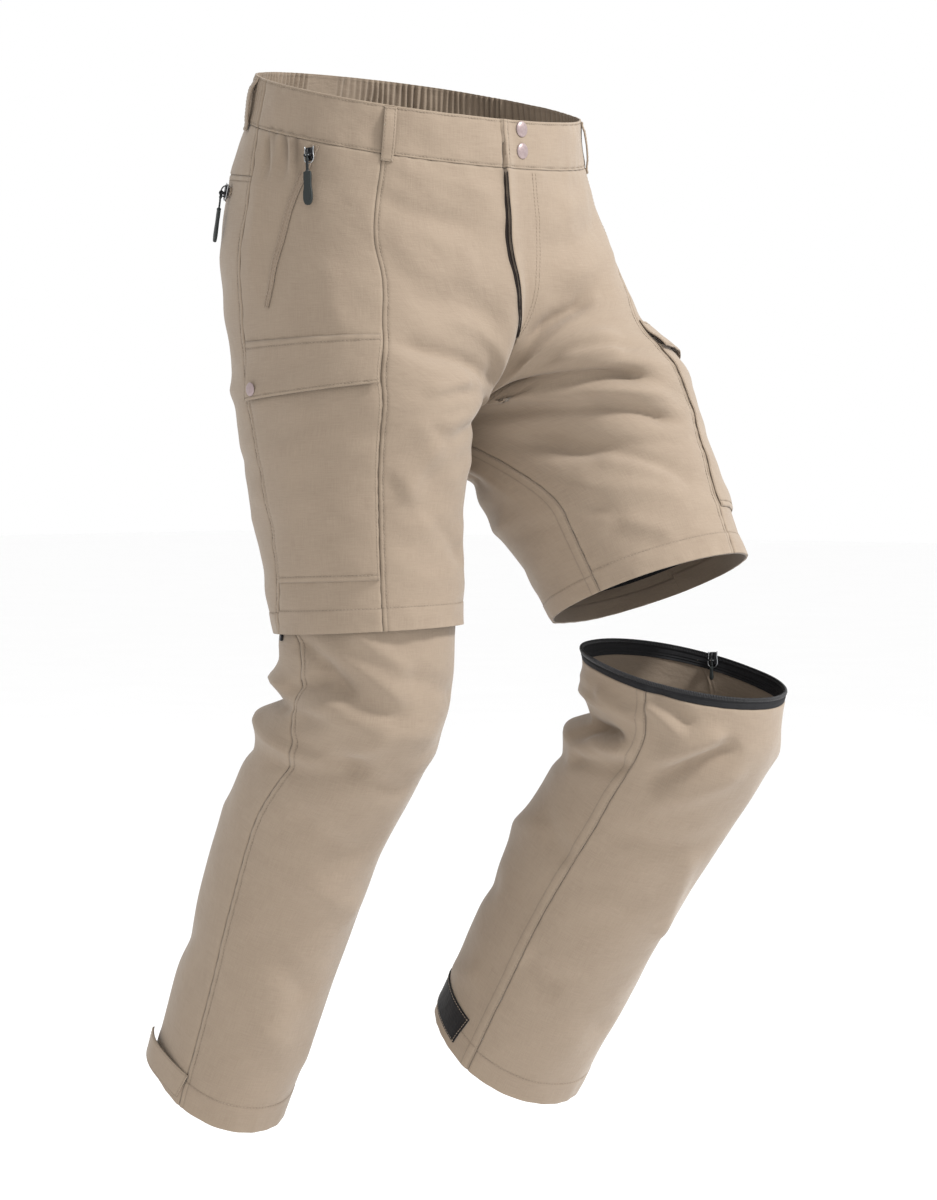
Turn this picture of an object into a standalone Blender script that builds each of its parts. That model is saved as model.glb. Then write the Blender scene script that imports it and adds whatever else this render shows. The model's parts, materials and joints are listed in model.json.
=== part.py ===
# Convertible zip-off trousers, worn and hollow, in metres with +Z up.
# The front faces -Y, the wearer's right is -X, and the origin is the middle of the waist.
# The wearer's left lower leg is zipped off and lies apart, below its shorts leg.

from math import cos, pi, radians, sin

import bmesh
import bpy
import numpy as np
from mathutils import Matrix, Vector

MM = 0.001

# Cloth and seams, in millimetres.
CLOTH = 1.2
SEAM_GAP = 0.3
LAID_ON = 0.6
WELT_THICK = 1.2
TAPE_THICK = 1.0

# The waist and seat: rings from the waistband's top edge down to the crotch.
# along: place down the garment. y, z: middle. wide: half width. front, back: half depths.
# lean: degrees that the ring drops to the front. square: 2 is an ellipse.
HIP_COLUMNS = ("along", "y", "z", "wide", "front", "back", "lean", "square")
HIP_RINGS = (
    (-0.18, 0, 0, 168, 126, 125, 12.3, 2.15),
    (0.00, 3, -44, 175, 131, 131, 12.0, 2.15),
    (0.22, 8, -100, 187, 138, 146, 10.0, 2.15),
    (0.50, 12, -172, 192, 142, 152, 6.0, 2.2),
    (0.80, 8, -245, 190, 142, 144, 3.0, 2.2),
    (1.00, 3, -300, 188, 140, 136, 2.0, 2.2),
)

# The legs: rings from the crotch to the shorts' hem, then from the leg zip to the trouser hem.
# x, y, z: middle. wide, deep: half sizes. pitch: degrees that the front is high.
# roll: degrees that the inner side is high. turn: degrees that the seams are turned round.
LEG_COLUMNS = ("along", "x", "y", "z", "wide", "deep", "pitch", "roll", "turn", "square")
THIGH_RINGS = {
    "right": (
        (1.00, -98, -12, -300, 96, 115, 4, 0, 0, 2.15),
        (1.25, -100, -12, -345, 93, 106, 3, 0, 0, 2.1),
        (1.60, -99, -17, -412, 88, 94, 2, 0, 0, 2.1),
        (2.00, -98, -26, -491, 85, 85, 2, 2, 0, 2.1),
    ),
    "left": (
        (1.00, 105, -92, -297, 104, 118, 22, 0, 4, 2.15),
        (1.30, 115, -113, -345, 102, 108, 24, -2, 14, 2.1),
        (1.60, 123, -134, -390, 98, 101, 24, -3, 12, 2.1),
        (2.00, 135, -167, -457, 92, 92, 21, -4, 10, 2.1),
    ),
}
SHIN_RINGS = {
    "right": (
        (0.00, -98, -26, -478, 78.5, 78.5, 2, 2, 0, 2.1),
        (0.18, -98, -20, -550, 78, 80, -8, 2, 0, 2.1),
        (0.30, -98, 7, -600, 76, 78, -20, 2, 0, 2.1),
        (0.50, -98, 58, -680, 75, 74, -27, 2, 0, 2.1),
        (0.75, -98, 110, -795, 72, 71, -28, 3, 0, 2.1),
        (1.00, -98, 166, -926, 68, 67, -36, 4, 0, 2.1),
    ),
    "left": (
        (0.00, 140, -203, -530, 95, 95, -15, 1, 18, 2.1),
        (0.12, 140, -203, -570, 92, 90, -18, 0, 18, 2.1),
        (0.30, 140, -158, -642, 88, 86, -28, 0, 17, 2.1),
        (0.60, 134, -88, -745, 86, 82, -35, 0, 16, 2.1),
        (1.00, 121, -4, -896, 80, 76, -42, 0, 16, 2.1),
    ),
}

SIGN = {"right": -1, "left": 1}

# The rise: where its curve to the crotch starts, and the crotch point.
RISE_STARTS = 0.42
CROTCH = (0, -9, -300)
RISE_REACH = 0.10
HIPS_TO_THIGH = (0.25, 1.0)
CROTCH_ALONG = 1.0
HEM_ALONG = 2.0
RISE_FADES_BY = 0.6

# Seams that run down the garment: how far round each lies (0 middle front, 1 middle back).
SEAM_COLUMNS = ("along", "round")
ROUND = SEAM_COLUMNS.index("round")
FRONT_SEAM = {
    "right": ((0, 0.285), (0.40, 0.285), (0.65, 0.33), (0.87, 0.36), (1.5, 0.355), (2, 0.355)),
    "left": ((0, 0.285), (0.40, 0.285), (0.70, 0.28), (1.0, 0.275), (1.4, 0.265), (2, 0.25)),
}
BACK_SEAM = {
    "right": ((0, 0.60), (0.2, 0.565), (0.6, 0.565), (0.9, 0.562), (1.3, 0.542), (1.7, 0.54), (2, 0.57)),
    "left": ((0, 0.60), (0.2, 0.58), (0.6, 0.57), (0.9, 0.56), (1.3, 0.54), (1.7, 0.53), (2, 0.53)),
}
OUTSEAM = ((0, 0.547), (0.12, 0.515), (0.21, 0.53), (0.30, 0.485), (0.45, 0.495), (0.6, 0.485), (1, 0.468))
FLY_EDGE = ((-0.18, 0.046), (0, 0.040), (0.3, 0.030), (0.5, 0.016), (0.6, 0.0), (2, 0.0))
FLY_END = 0.6
YOKE_SEAM = ((0, 0.165), (0.5, 0.20), (1, 0.25))


def smooth(t):
    """Ease from 0 to 1."""
    t = np.clip(t, 0.0, 1.0)
    return t * t * (3 - 2 * t)


def slopes(along, values):
    """Slopes at the rows of a table that keep a curve through them from overshooting."""
    step = np.diff(along)
    rise = np.diff(values) / step
    slope = np.empty(len(along))
    slope[0] = rise[0]
    slope[-1] = rise[-1]
    for i in range(1, len(along) - 1):
        slope[i] = 0.0
        if rise[i - 1] * rise[i] > 0:
            before = 2 * step[i] + step[i - 1]
            after = step[i] + 2 * step[i - 1]
            slope[i] = (before + after) / (before / rise[i - 1] + after / rise[i])
    return slope


def read(rows, column, at):
    """Read one column of a table smoothly at any place, straight on past its ends."""
    along = np.array([row[0] for row in rows], float)
    values = np.array([row[column] for row in rows], float)
    slope = slopes(along, values)
    i = np.clip(np.searchsorted(along, at) - 1, 0, len(along) - 2)
    step = along[i + 1] - along[i]
    t = (at - along[i]) / step
    inside = np.clip(t, 0, 1)
    level = values[i] * (1 + 2 * inside) * (1 - inside) ** 2
    level = level + values[i + 1] * inside**2 * (3 - 2 * inside)
    level = level + step * slope[i] * inside * (1 - inside) ** 2
    level = level - step * slope[i + 1] * inside**2 * (1 - inside)
    return level + step * (slope[i] * np.minimum(t, 0) + slope[i + 1] * np.maximum(t - 1, 0))


def curves(rows, columns, at):
    """Read every column of a table after its first."""
    return [read(rows, k, at) for k in range(1, len(columns))]


def power(x, n):
    """Signed power that turns a circle's sine or cosine into a squarer ring's."""
    return np.sign(x) * np.abs(x) ** (2.0 / n)


def hip_point(s, v):
    """A point on the waist and seat's rings. s runs from -1, middle back by way of the right,
    through 0, middle front, to 1, middle back by way of the left."""
    y, z, wide, front, back, lean, square = curves(HIP_RINGS, HIP_COLUMNS, v)
    forward = power(np.cos(pi * s), square)
    out = power(np.sin(pi * s), square)
    dy = -np.where(forward > 0, front, back) * forward
    return MM * np.stack([wide * out, y + dy, z + np.tan(np.radians(lean)) * dy], -1)


def leg_point(rings, sign, s, v):
    """A point on a leg's rings. s is 0 at the inseam, a half at the outer side, and has
    the side's sign."""
    x, y, z, wide, deep, pitch, roll, turn, square = curves(rings, LEG_COLUMNS, v)
    angle = 2 * pi * s * sign + np.radians(turn)
    inward = wide * power(np.cos(angle), square)
    forward = deep * power(np.sin(angle), square)
    pitch = np.radians(pitch)
    roll = np.radians(roll)
    return MM * np.stack(
        [
            x - sign * np.cos(roll) * inward,
            y - np.cos(pitch) * forward,
            z + np.sin(roll) * inward + np.sin(pitch) * forward,
        ],
        -1,
    )


def rise_point(end, v):
    """The seam down the middle of the front (end 0) or back (end 1), round to the crotch."""
    ends = np.full_like(v, end)
    straight = hip_point(ends, v)
    start = hip_point(ends, np.full_like(v, RISE_STARTS))
    turn = np.clip((v - RISE_STARTS) / (CROTCH_ALONG - RISE_STARTS), 0, 1) * pi / 2
    y = start[..., 1] + (MM * CROTCH[1] - start[..., 1]) * (1 - np.cos(turn))
    z = start[..., 2] + (MM * CROTCH[2] - start[..., 2]) * np.sin(turn)
    curve = np.stack([np.zeros_like(y), y, z], -1)
    return np.where((v <= RISE_STARTS)[..., None], straight * [0, 1, 1], curve)


def side_trunk(side, sign, s, v):
    """A point on one side's cloth from the waist to the shorts' hem, before folds."""
    rings = THIGH_RINGS[side]

    def rough(s, v):
        low, high = HIPS_TO_THIGH
        mix = smooth((v - low) / (high - low))[..., None]
        thigh = leg_point(rings, sign, s, v)
        upper = (1 - mix) * hip_point(s, v) + mix * thigh
        return np.where((v < CROTCH_ALONG)[..., None], upper, thigh)

    point = rough(s, v)
    above = np.minimum(v, CROTCH_ALONG)
    fade = (1 - smooth((v - CROTCH_ALONG) / RISE_FADES_BY))[..., None]
    for end in (0.0, 1.0):
        reach = np.exp(-((np.abs(np.abs(s) - end) / RISE_REACH) ** 2))[..., None]
        miss = rise_point(end, above) - rough(np.full_like(s, end * sign), above)
        point = point + reach * fade * miss
    return point


# Broad swells of the cloth: which part, how far round and along, the reach each way,
# and the push in millimetres (x, y, z).
SWELLS = (("left", 0.27, 0.46, 0.20, 0.26, (0, -30, 0)),)
SWELL_FADE = 0.12

# Folds: which part, its two ends (round, along), how high it stands (below 0 a hollow),
# and its half width, in millimetres.
FOLDS = (
    ("left", (0.010, 0.60), (0.15, 0.53), -6, 11),
    ("left", (0.030, 0.70), (0.20, 0.76), 6, 15),
    ("left", (0.035, 0.85), (0.21, 1.05), -9, 12),
    ("left", (0.060, 0.96), (0.22, 1.17), 5, 13),
    ("left", (0.050, 1.06), (0.22, 1.31), -5, 12),
    ("left", (0.045, 1.24), (0.20, 1.62), -5, 13),
    ("left", (0.960, 1.20), (0.97, 1.60), 4, 14),
    ("left", (0.800, 0.95), (0.95, 1.10), 6, 16),
    ("left", (0.780, 1.15), (0.94, 1.28), -5, 14),
    ("right", (0.270, 0.08), (0.17, 0.17), 3, 12),
    ("right", (0.250, 0.28), (0.11, 0.36), 4, 15),
    ("right", (0.300, 0.70), (0.15, 0.79), -5, 14),
    ("right", (0.150, 0.93), (0.27, 1.05), 5, 14),
    ("right", (0.300, 1.06), (0.23, 1.24), 4, 14),
    ("right", (0.330, 1.29), (0.27, 1.59), 4, 15),
    ("right", (0.800, 0.95), (0.95, 1.08), -6, 14),
    ("right", (0.780, 1.12), (0.93, 1.22), 5, 14),
    ("right_shin", (0.730, 0.215), (0.47, 0.215), -8, 13),
    ("right_shin", (0.800, 0.150), (0.55, 0.165), 6, 12),
    ("right_shin", (0.780, 0.285), (0.46, 0.290), 7, 13),
    ("right_shin", (0.520, 0.330), (0.34, 0.300), -4, 12),
    ("right_shin", (0.470, 0.090), (0.40, 0.160), -4, 12),
    ("left_shin", (0.700, 0.185), (0.93, 0.190), -8, 12),
    ("left_shin", (0.720, 0.120), (0.95, 0.115), 6, 11),
    ("left_shin", (0.700, 0.250), (0.97, 0.225), 6, 12),
    ("left_shin", (0.030, 0.210), (0.16, 0.130), -4, 12),
)
FOLD_FADE = 0.06
ROUND_MM = {"right": 560, "left": 600, "right_shin": 480, "left_shin": 540}
ALONG_MM = {"right": 240, "left": 230, "right_shin": 480, "left_shin": 440}


def swelling(part, u, v):
    """How far the cloth is pushed by the broad swells, faded out at the middle seams."""
    push = np.zeros(u.shape + (3,))
    for place, u0, v0, u_reach, v_reach, way in SWELLS:
        if place == part:
            share = np.exp(-(((u - u0) / u_reach) ** 2) - ((v - v0) / v_reach) ** 2)
            push += MM * share[..., None] * np.array(way, float)
    return push * smooth(np.minimum(u, 1 - u) / SWELL_FADE)[..., None]


def folding(part, u, v):
    """How far the folds stand out from the cloth, in metres."""
    height = np.zeros(u.shape)
    for place, start, end, rise, half_width in FOLDS:
        if place != part:
            continue
        across = np.array([ROUND_MM[part], ALONG_MM[part]])
        a = np.array(start) * across
        run = np.array(end) * across - a
        length = np.hypot(*run)
        du = u * across[0] - a[0]
        dv = v * across[1] - a[1]
        share = (du * run[0] + dv * run[1]) / length**2
        off = (du * run[1] - dv * run[0]) / length
        ends = smooth(share * 3 + 0.5) * smooth((1 - share) * 3 + 0.5)
        height += MM * rise * ends * np.exp(-((off / half_width) ** 2))
    return height


def trunk(s, v):
    """The smooth cloth from the waistband to the shorts' hem, on both sides."""
    s = (s + 1) % 2 - 1
    right = side_trunk("right", -1, np.minimum(s, 0), v) + swelling("right", np.abs(s), v)
    left = side_trunk("left", 1, np.maximum(s, 0), v) + swelling("left", np.abs(s), v)
    return np.where((s < 0)[..., None], right, left)


def own_trunk(side, s, v):
    """The same cloth for one side's panels, which below the fly never turn onto the other."""
    own = side_trunk(side, SIGN[side], s, v) + swelling(side, np.abs(s), v)
    return np.where((v < FLY_END)[..., None], trunk(s, v), own)


def shin(side, s, v):
    """The smooth cloth of a lower leg, from the leg zip to the hem."""
    return leg_point(SHIN_RINGS[side], SIGN[side], s, v)


NORMAL_STEP = 2e-3
NEAR = 1e-4


def normals(surface, s, v):
    """Unit directions out of the cloth."""
    small = NORMAL_STEP
    around = surface(s + small, v) - surface(s - small, v)
    down = surface(s, v + small) - surface(s, v - small)
    out = np.cross(down, around)
    return out / np.linalg.norm(out, axis=-1, keepdims=True)


class Cloth:
    """A stretch of cloth that pieces are cut from: its smooth surface with its folds."""

    def __init__(self, surface, fold, one_side=0):
        self.surface = surface
        self.fold = fold
        self.one_side = one_side

    def place(self, s, v, lift):
        """Points of the cloth moved out by lift, in millimetres."""
        point = self.surface(s, v)
        out = normals(self.surface, s, v)
        if self.one_side:
            u = np.abs(s)
            middle = (np.minimum(u, 1 - u) < NEAR) & (v <= CROTCH_ALONG)
            out[..., 0] = np.where(middle, 0, out[..., 0])
            crotch = middle & (np.abs(v - CROTCH_ALONG) < NEAR)
            out = np.where(crotch[..., None], np.array((0.0, 0.0, -1.0)), out)
            out /= np.linalg.norm(out, axis=-1, keepdims=True)
        point = point + out * (self.fold(s, v) + MM * lift)[..., None]
        if self.one_side:
            own = self.one_side * np.maximum(self.one_side * point[..., 0], MM * SEAM_GAP / 2)
            point[..., 0] = np.where(v > FLY_END, own, point[..., 0])
        return point

    def frame(self, s, v, lift=0.0):
        """A place on the cloth: its point, the way out of it and the way down it."""
        s = np.array([float(s)])
        v = np.array([float(v)])
        point = self.place(s, v, np.zeros(1) + lift)[0]
        out = normals(self.surface, s, v)[0]
        down = self.surface(s, v + 1e-3)[0] - self.surface(s, v - 1e-3)[0]
        down = down - out * (down @ out)
        return Vector(point), Vector(out), Vector(down).normalized()


def trunk_fold(s, v):
    s = (s + 1) % 2 - 1
    u = np.abs(s)
    rise = np.where(s < 0, folding("right", u, v), folding("left", u, v))
    return rise * smooth(np.minimum(u, 1 - u) / FOLD_FADE) + fly_step(s, v) + gathers(s, v)


def shin_fold(side):
    return lambda s, v: folding(side + "_shin", np.abs(s), v)


# The left front's edge stands over the right front along the fly.
FLY_STEP = 1.4
FLY_STEP_WIDE = 0.03


def fly_step(s, v):
    edge = -read(FLY_EDGE, ROUND, v)
    over = np.clip((s - edge) / FLY_STEP_WIDE, 0, 1)
    return MM * FLY_STEP * (1 - smooth(over)) * (s >= edge - 1e-6) * (v < FLY_END)


# Gathers: small ones in each side panel under the waistband.
SIDE_GATHERS = 4
GATHER_DEEP = 1.6
GATHER_SPAN = (0.508, 0.86)
GATHER_ENDS = 0.17


def gathers(s, v):
    u = np.abs((s + 1) % 2 - 1)
    front = read(FRONT_SEAM["right"], ROUND, v)
    back = read(BACK_SEAM["right"], ROUND, v)
    share = (u - front) / (back - front)
    low, high = GATHER_SPAN
    t = (share - low) / (high - low)
    inside = (t > 0) & (t < 1)
    wave = np.sin(pi * SIDE_GATHERS * np.clip(t, 0, 1)) ** 2
    fade = (1 - smooth(v / GATHER_ENDS)) * (v > -0.01)
    return MM * GATHER_DEEP * wave * fade * inside


TRUNK = Cloth(trunk, trunk_fold)
SIDE_TRUNK = {
    side: Cloth(lambda s, v, side=side: own_trunk(side, s, v), trunk_fold, SIGN[side]) for side in SIGN
}
SHIN = {side: Cloth(lambda s, v, side=side: shin(side, s, v), shin_fold(side)) for side in SIGN}


def material(name, colour, roughness, metallic=0.0):
    """A plain material of one colour."""
    new = bpy.data.materials.new(name)
    new.use_nodes = True
    shader = new.node_tree.nodes["Principled BSDF"]
    shader.inputs["Base Color"].default_value = (*colour, 1.0)
    shader.inputs["Roughness"].default_value = roughness
    shader.inputs["Metallic"].default_value = metallic
    return new


def put(name, mesh, paint):
    """Make an object of a mesh, in the trousers' collection."""
    thing = bpy.data.objects.new(name, mesh)
    thing.data.materials.append(paint)
    PARTS.objects.link(thing)
    return thing


def facing_out(mesh):
    """Turn a closed mesh's faces outwards."""
    work = bmesh.new()
    work.from_mesh(mesh)
    if work.calc_volume(signed=True) < 0:
        bmesh.ops.reverse_faces(work, faces=work.faces)
    work.to_mesh(mesh)
    work.free()


def pull_in(points, axis, gap):
    """Move a grid's first and last rows in along one axis by a gap, in millimetres."""
    grid = np.moveaxis(points, axis, 0)
    for edge, beside in ((0, 1), (-1, -2)):
        way = grid[beside] - grid[edge]
        grid[edge] += way / np.linalg.norm(way, axis=-1, keepdims=True) * gap * MM


def wall(name, cloth, s, v, paint, low=-CLOTH / 2, high=CLOTH / 2, relief=None, ring=False, gap=SEAM_GAP):
    """A closed wall over a grid of places on the cloth. s and v are grids, a row for each
    step along; the wall lies between low and high, in millimetres out of the cloth, plus
    any relief. A ring's last column joins its first."""
    extra = np.zeros(s.shape) if relief is None else relief
    layers = [cloth.place(s, v, extra + high), cloth.place(s, v, extra + low)]
    for layer in layers:
        pull_in(layer, 0, gap / 2)
        if not ring:
            pull_in(layer, 1, gap / 2)
    rows, columns = s.shape
    points = np.concatenate([layer.reshape(-1, 3) for layer in layers])
    inner = rows * columns

    def at(layer, i, j):
        return layer * inner + i * columns + j % columns

    faces = []
    last = columns if ring else columns - 1
    for i in range(rows - 1):
        for j in range(last):
            faces.append((at(0, i, j), at(0, i, j + 1), at(0, i + 1, j + 1), at(0, i + 1, j)))
            faces.append((at(1, i, j), at(1, i + 1, j), at(1, i + 1, j + 1), at(1, i, j + 1)))
    for j in range(last):
        faces.append((at(0, 0, j), at(1, 0, j), at(1, 0, j + 1), at(0, 0, j + 1)))
        end = rows - 1
        faces.append((at(0, end, j), at(0, end, j + 1), at(1, end, j + 1), at(1, end, j)))
    if not ring:
        for i in range(rows - 1):
            faces.append((at(0, i, 0), at(0, i + 1, 0), at(1, i + 1, 0), at(1, i, 0)))
            end = columns - 1
            faces.append((at(0, i, end), at(1, i, end), at(1, i + 1, end), at(0, i + 1, end)))
    mesh = bpy.data.meshes.new(name)
    mesh.from_pydata(points.tolist(), [], faces)
    facing_out(mesh)
    mesh.shade_smooth()
    mesh.set_sharp_from_angle(angle=radians(50))
    return put(name, mesh, paint)


def spread(start, end, cells):
    """Grid of values between two edges, one edge value for each row."""
    share = np.linspace(0, 1, cells + 1)
    return start[:, None] + (end - start)[:, None] * share[None, :]


# Rows down the trunk that every panel shares, so that their edges match.
YOKE_ROWS = (0.0, 0.055, 0.11, 0.165)
HIP_ROWS = (0.165, 0.25, 0.35, 0.45, 0.55, 0.65, 0.74, 0.83, 0.92, 1.0)
THIGH_ROWS = tuple(1.1 + 0.1 * k for k in range(10))
LOWER_ROWS = HIP_ROWS + THIGH_ROWS
ALL_ROWS = YOKE_ROWS[:-1] + LOWER_ROWS
FRONT_CELLS = 6
BACK_CELLS = 9
SIDE_SHARES = (0, 0.14, 0.28) + tuple(0.42 + 0.044 * k for k in range(11)) + (1.0,)


def front_places(side, rows):
    """Places of a front panel, from the fly or middle seam to the side seam."""
    v = np.array(rows, float)
    fly = -read(FLY_EDGE, ROUND, v)
    seam = SIGN[side] * read(FRONT_SEAM[side], ROUND, v)
    s = spread(fly, seam, FRONT_CELLS)
    return s, np.repeat(v[:, None], s.shape[1], 1)


def side_places(side, rows, shares=SIDE_SHARES):
    """Places of a side panel, from its front seam to its back seam."""
    v = np.array(rows, float)
    front = read(FRONT_SEAM[side], ROUND, v)
    back = read(BACK_SEAM[side], ROUND, v)
    share = np.array(shares, float)
    s = SIGN[side] * (front[:, None] + (back - front)[:, None] * share[None, :])
    return s, np.repeat(v[:, None], len(share), 1)


def yoke_drop(share):
    """How far the yoke's lower edge drops, from the side seam to the middle back."""
    return read(YOKE_SEAM, ROUND, share) - YOKE_ROWS[-1]


def back_places(side, rows):
    """Places of a back panel or yoke, from the side seam to the middle back or inseam."""
    v = np.array(rows, float)
    share = np.linspace(0, 1, BACK_CELLS + 1)
    top = YOKE_ROWS[-1]
    fade = np.where(v < top, v / top, 1 - smooth((v - top) / (CROTCH_ALONG - top)))
    lowered = v[:, None] + fade[:, None] * yoke_drop(share)[None, :]
    seam = read(BACK_SEAM[side], ROUND, v)
    s = seam[:, None] + (1 - seam)[:, None] * share[None, :]
    return SIGN[side] * s, lowered


def panels(side):
    """The three long panels and the yoke on one side."""
    cloth = SIDE_TRUNK[side]
    wall("front_" + side, cloth, *front_places(side, ALL_ROWS), KHAKI)
    wall("side_" + side, cloth, *side_places(side, ALL_ROWS), KHAKI)
    wall("yoke_" + side, cloth, *back_places(side, YOKE_ROWS), KHAKI)
    wall("back_" + side, cloth, *back_places(side, LOWER_ROWS), KHAKI)


# The waistband: smooth at the front and sides, gathered on elastic round the back.
BAND_ROWS = (-0.18, -0.09, 0.0)
BAND_SIDE_CELLS = 8
BAND_GATHERS = 28
BAND_GATHER_DEEP = 1.5
BAND_GATHER_ROWS = (0.5, 1.0, 0.5)
BACK_PATCH = 0.035


def band_front(side):
    v = np.array(BAND_ROWS, float)
    fly = -read(FLY_EDGE, ROUND, v)
    front = SIGN[side] * FRONT_SEAM[side][0][ROUND] * np.ones(len(v))
    back = SIGN[side] * BACK_SEAM[side][0][ROUND] * np.ones(len(v))
    to_side = spread(fly, front, FRONT_CELLS)
    s = np.concatenate([to_side, spread(front, back, BAND_SIDE_CELLS)[:, 1:]], 1)
    wall("band_front_" + side, TRUNK, s, np.repeat(v[:, None], s.shape[1], 1), KHAKI)


def band_back():
    """The gathered back of the waistband, with a flat patch at the middle back."""
    seam = BACK_SEAM["left"][0][ROUND]
    half = np.linspace(seam, 1 - BACK_PATCH, 2 * BAND_GATHERS + 1)
    wave = np.arange(len(half)) % 2 * BAND_GATHER_DEEP
    s = np.concatenate([half, [1.0], 2 - half[::-1]])
    lift = np.concatenate([wave, [0.0], wave[::-1]])
    v = np.array(BAND_ROWS, float)
    edge = np.array(BAND_GATHER_ROWS)
    s_grid = np.repeat(s[None, :], len(v), 0)
    v_grid = np.repeat(v[:, None], len(s), 1)
    wall("band_back", TRUNK, s_grid, v_grid, KHAKI, relief=edge[:, None] * lift[None, :])


SHIN_CELLS = 10
SHIN_ROWS = 20
SHIN_STARTS = {"right": 0.0, "left": 0.03}
INSIDE_TAPE = 2.0


def shin_places(side, v):
    """Places round a lower leg: the front half, then the back half."""
    outseam = read(OUTSEAM, ROUND, v)
    front = SIGN[side] * spread(np.zeros(len(v)), outseam, SHIN_CELLS)
    back = SIGN[side] * spread(outseam, np.ones(len(v)), SHIN_CELLS)
    return front, back, np.repeat(v[:, None], SHIN_CELLS + 1, 1)


def lower_leg(side):
    """Front and back of a lower leg, from the leg zip to the hem."""
    start = SHIN_STARTS[side]
    front, back, v = shin_places(side, start + (1 - start) * np.linspace(0, 1, SHIN_ROWS + 1))
    wall("lower_front_" + side, SHIN[side], front, v, KHAKI)
    wall("lower_back_" + side, SHIN[side], back, v, KHAKI)


# Zip tapes inside the shorts hems: side, name, and the rows down the leg that each spans.
INSIDE_ZIPS = (
    ("right", "leg_zip_right", (1.94, 1.995)),
    ("left", "leg_zip_left_upper", (1.80, 1.86)),
)


def zip_ring(name, cloth, s, v, lift):
    """A zip tape round a leg, over a grid of places whose last column joins the first."""
    half = TAPE_THICK / 2
    wall(name, cloth, s, v, BLACK, low=lift - half, high=lift + half, ring=True)


def leg_zips():
    """The zip tapes inside both shorts hems, and the one round the loose leg's top."""
    for side, name, rows in INSIDE_ZIPS:
        s = [places(side, rows)[0][:, :-1] for places in (front_places, side_places, back_places)]
        s = np.concatenate(s, 1)
        v = np.repeat(np.array(rows)[:, None], s.shape[1], 1)
        zip_ring(name, SIDE_TRUNK[side], s, v, -INSIDE_TAPE)
    front, back, v = shin_places("left", np.array((0.0, SHIN_STARTS["left"])))
    s = np.concatenate([front[:, :-1], back[:, :-1]], 1)
    zip_ring("leg_zip_left_lower", SHIN["left"], s, np.repeat(v[:, :1], s.shape[1], 1), 0.0)


# Belt loops: name, place round the waist, and how far its sewn ends stand off the cloth.
LOOP_PLACES = (
    ("loop_front_right", -0.275, 1.2),
    ("loop_front_left", 0.275, 1.2),
    ("loop_side_right", -0.66, 2.5),
    ("loop_side_left", 0.66, 2.5),
    ("loop_centre_back", 1.0, 1.2),
)
LOOP_WIDE = 11
LOOP_THICK = 1.4
LOOP_PROUD = 3.4
LOOP_ROWS = (-0.172, -0.160, -0.13, -0.08, -0.03, 0.012, 0.026)
LOOP_RISE = (0.0, 0.0, 0.7, 1.0, 0.7, 0.0, 0.0)


def strip(name, cloth, path, wide, paint, lift, thick):
    """A flat strip over the cloth. path: rows of (s, v, lift over the cloth); wide: width,
    in millimetres, one value or one for each row. It lies square to its own path."""
    path = np.array(path, float)
    wide = np.zeros(len(path)) + wide
    s = path[:, 0]
    v = path[:, 1]
    point = cloth.place(s, v, np.zeros(len(s)))
    along = np.gradient(point, axis=0)
    out = normals(cloth.surface, s, v)
    across = np.cross(out, along)
    across /= np.linalg.norm(across, axis=1, keepdims=True)
    small = NORMAL_STEP / 2
    by_s = (cloth.surface(s + small, v) - cloth.surface(s - small, v)) / (2 * small)
    by_v = (cloth.surface(s, v + small) - cloth.surface(s, v - small)) / (2 * small)
    basis = np.stack([by_s, by_v, out], -1)
    step = np.linalg.solve(basis, across[..., None])[..., 0]
    share = np.array((-0.5, 0.0, 0.5))
    reach = MM * wide[:, None] * share[None, :]
    s_grid = s[:, None] + step[:, 0:1] * reach
    v_grid = v[:, None] + step[:, 1:2] * reach
    relief = np.repeat(path[:, 2:3], 3, 1)
    wall(name, cloth, s_grid, v_grid, paint, low=lift, high=lift + thick, relief=relief, gap=0)


def belt_loops():
    for name, s, foot in LOOP_PLACES:
        path = [(s, v, LOOP_PROUD * rise) for v, rise in zip(LOOP_ROWS, LOOP_RISE)]
        strip(name, TRUNK, path, LOOP_WIDE, KHAKI, foot, LOOP_THICK)


# Zipped pockets: a slanted one in each side panel, and one across the right back.
SLANT_TOP = (0.425, 0.012)
SLANT_FOOT = (0.508, 0.56)
SLANT_WIDE = (8, 6)
BACK_POCKET = ((0.645, 0.235), (0.90, 0.315))
BACK_POCKET_WIDE = 8
POCKET_CELLS = 8


def straight_run(start, end, cells):
    """Places along a straight line on the cloth."""
    share = np.linspace(0, 1, cells + 1)
    return [tuple(row) for row in np.outer(1 - share, start) + np.outer(share, end)]


def slant_place(side, share):
    (u0, v0), (u1, v1) = SLANT_TOP, SLANT_FOOT
    return SIGN[side] * (u0 + (u1 - u0) * share), v0 + (v1 - v0) * share


def pocket_zips():
    lift = CLOTH / 2 + LAID_ON
    for side in SIGN:
        path = [(*slant_place(side, k / POCKET_CELLS), 0.0) for k in range(POCKET_CELLS + 1)]
        wide = np.linspace(SLANT_WIDE[0], SLANT_WIDE[1], len(path))
        strip("pocket_zip_" + side, SIDE_TRUNK[side], path, wide, KHAKI, lift, WELT_THICK)
    path = [(-u, v, 0.0) for u, v in straight_run(*BACK_POCKET, 2 * POCKET_CELLS)]
    strip("pocket_zip_back", SIDE_TRUNK["right"], path, BACK_POCKET_WIDE, KHAKI, lift, WELT_THICK)


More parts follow.
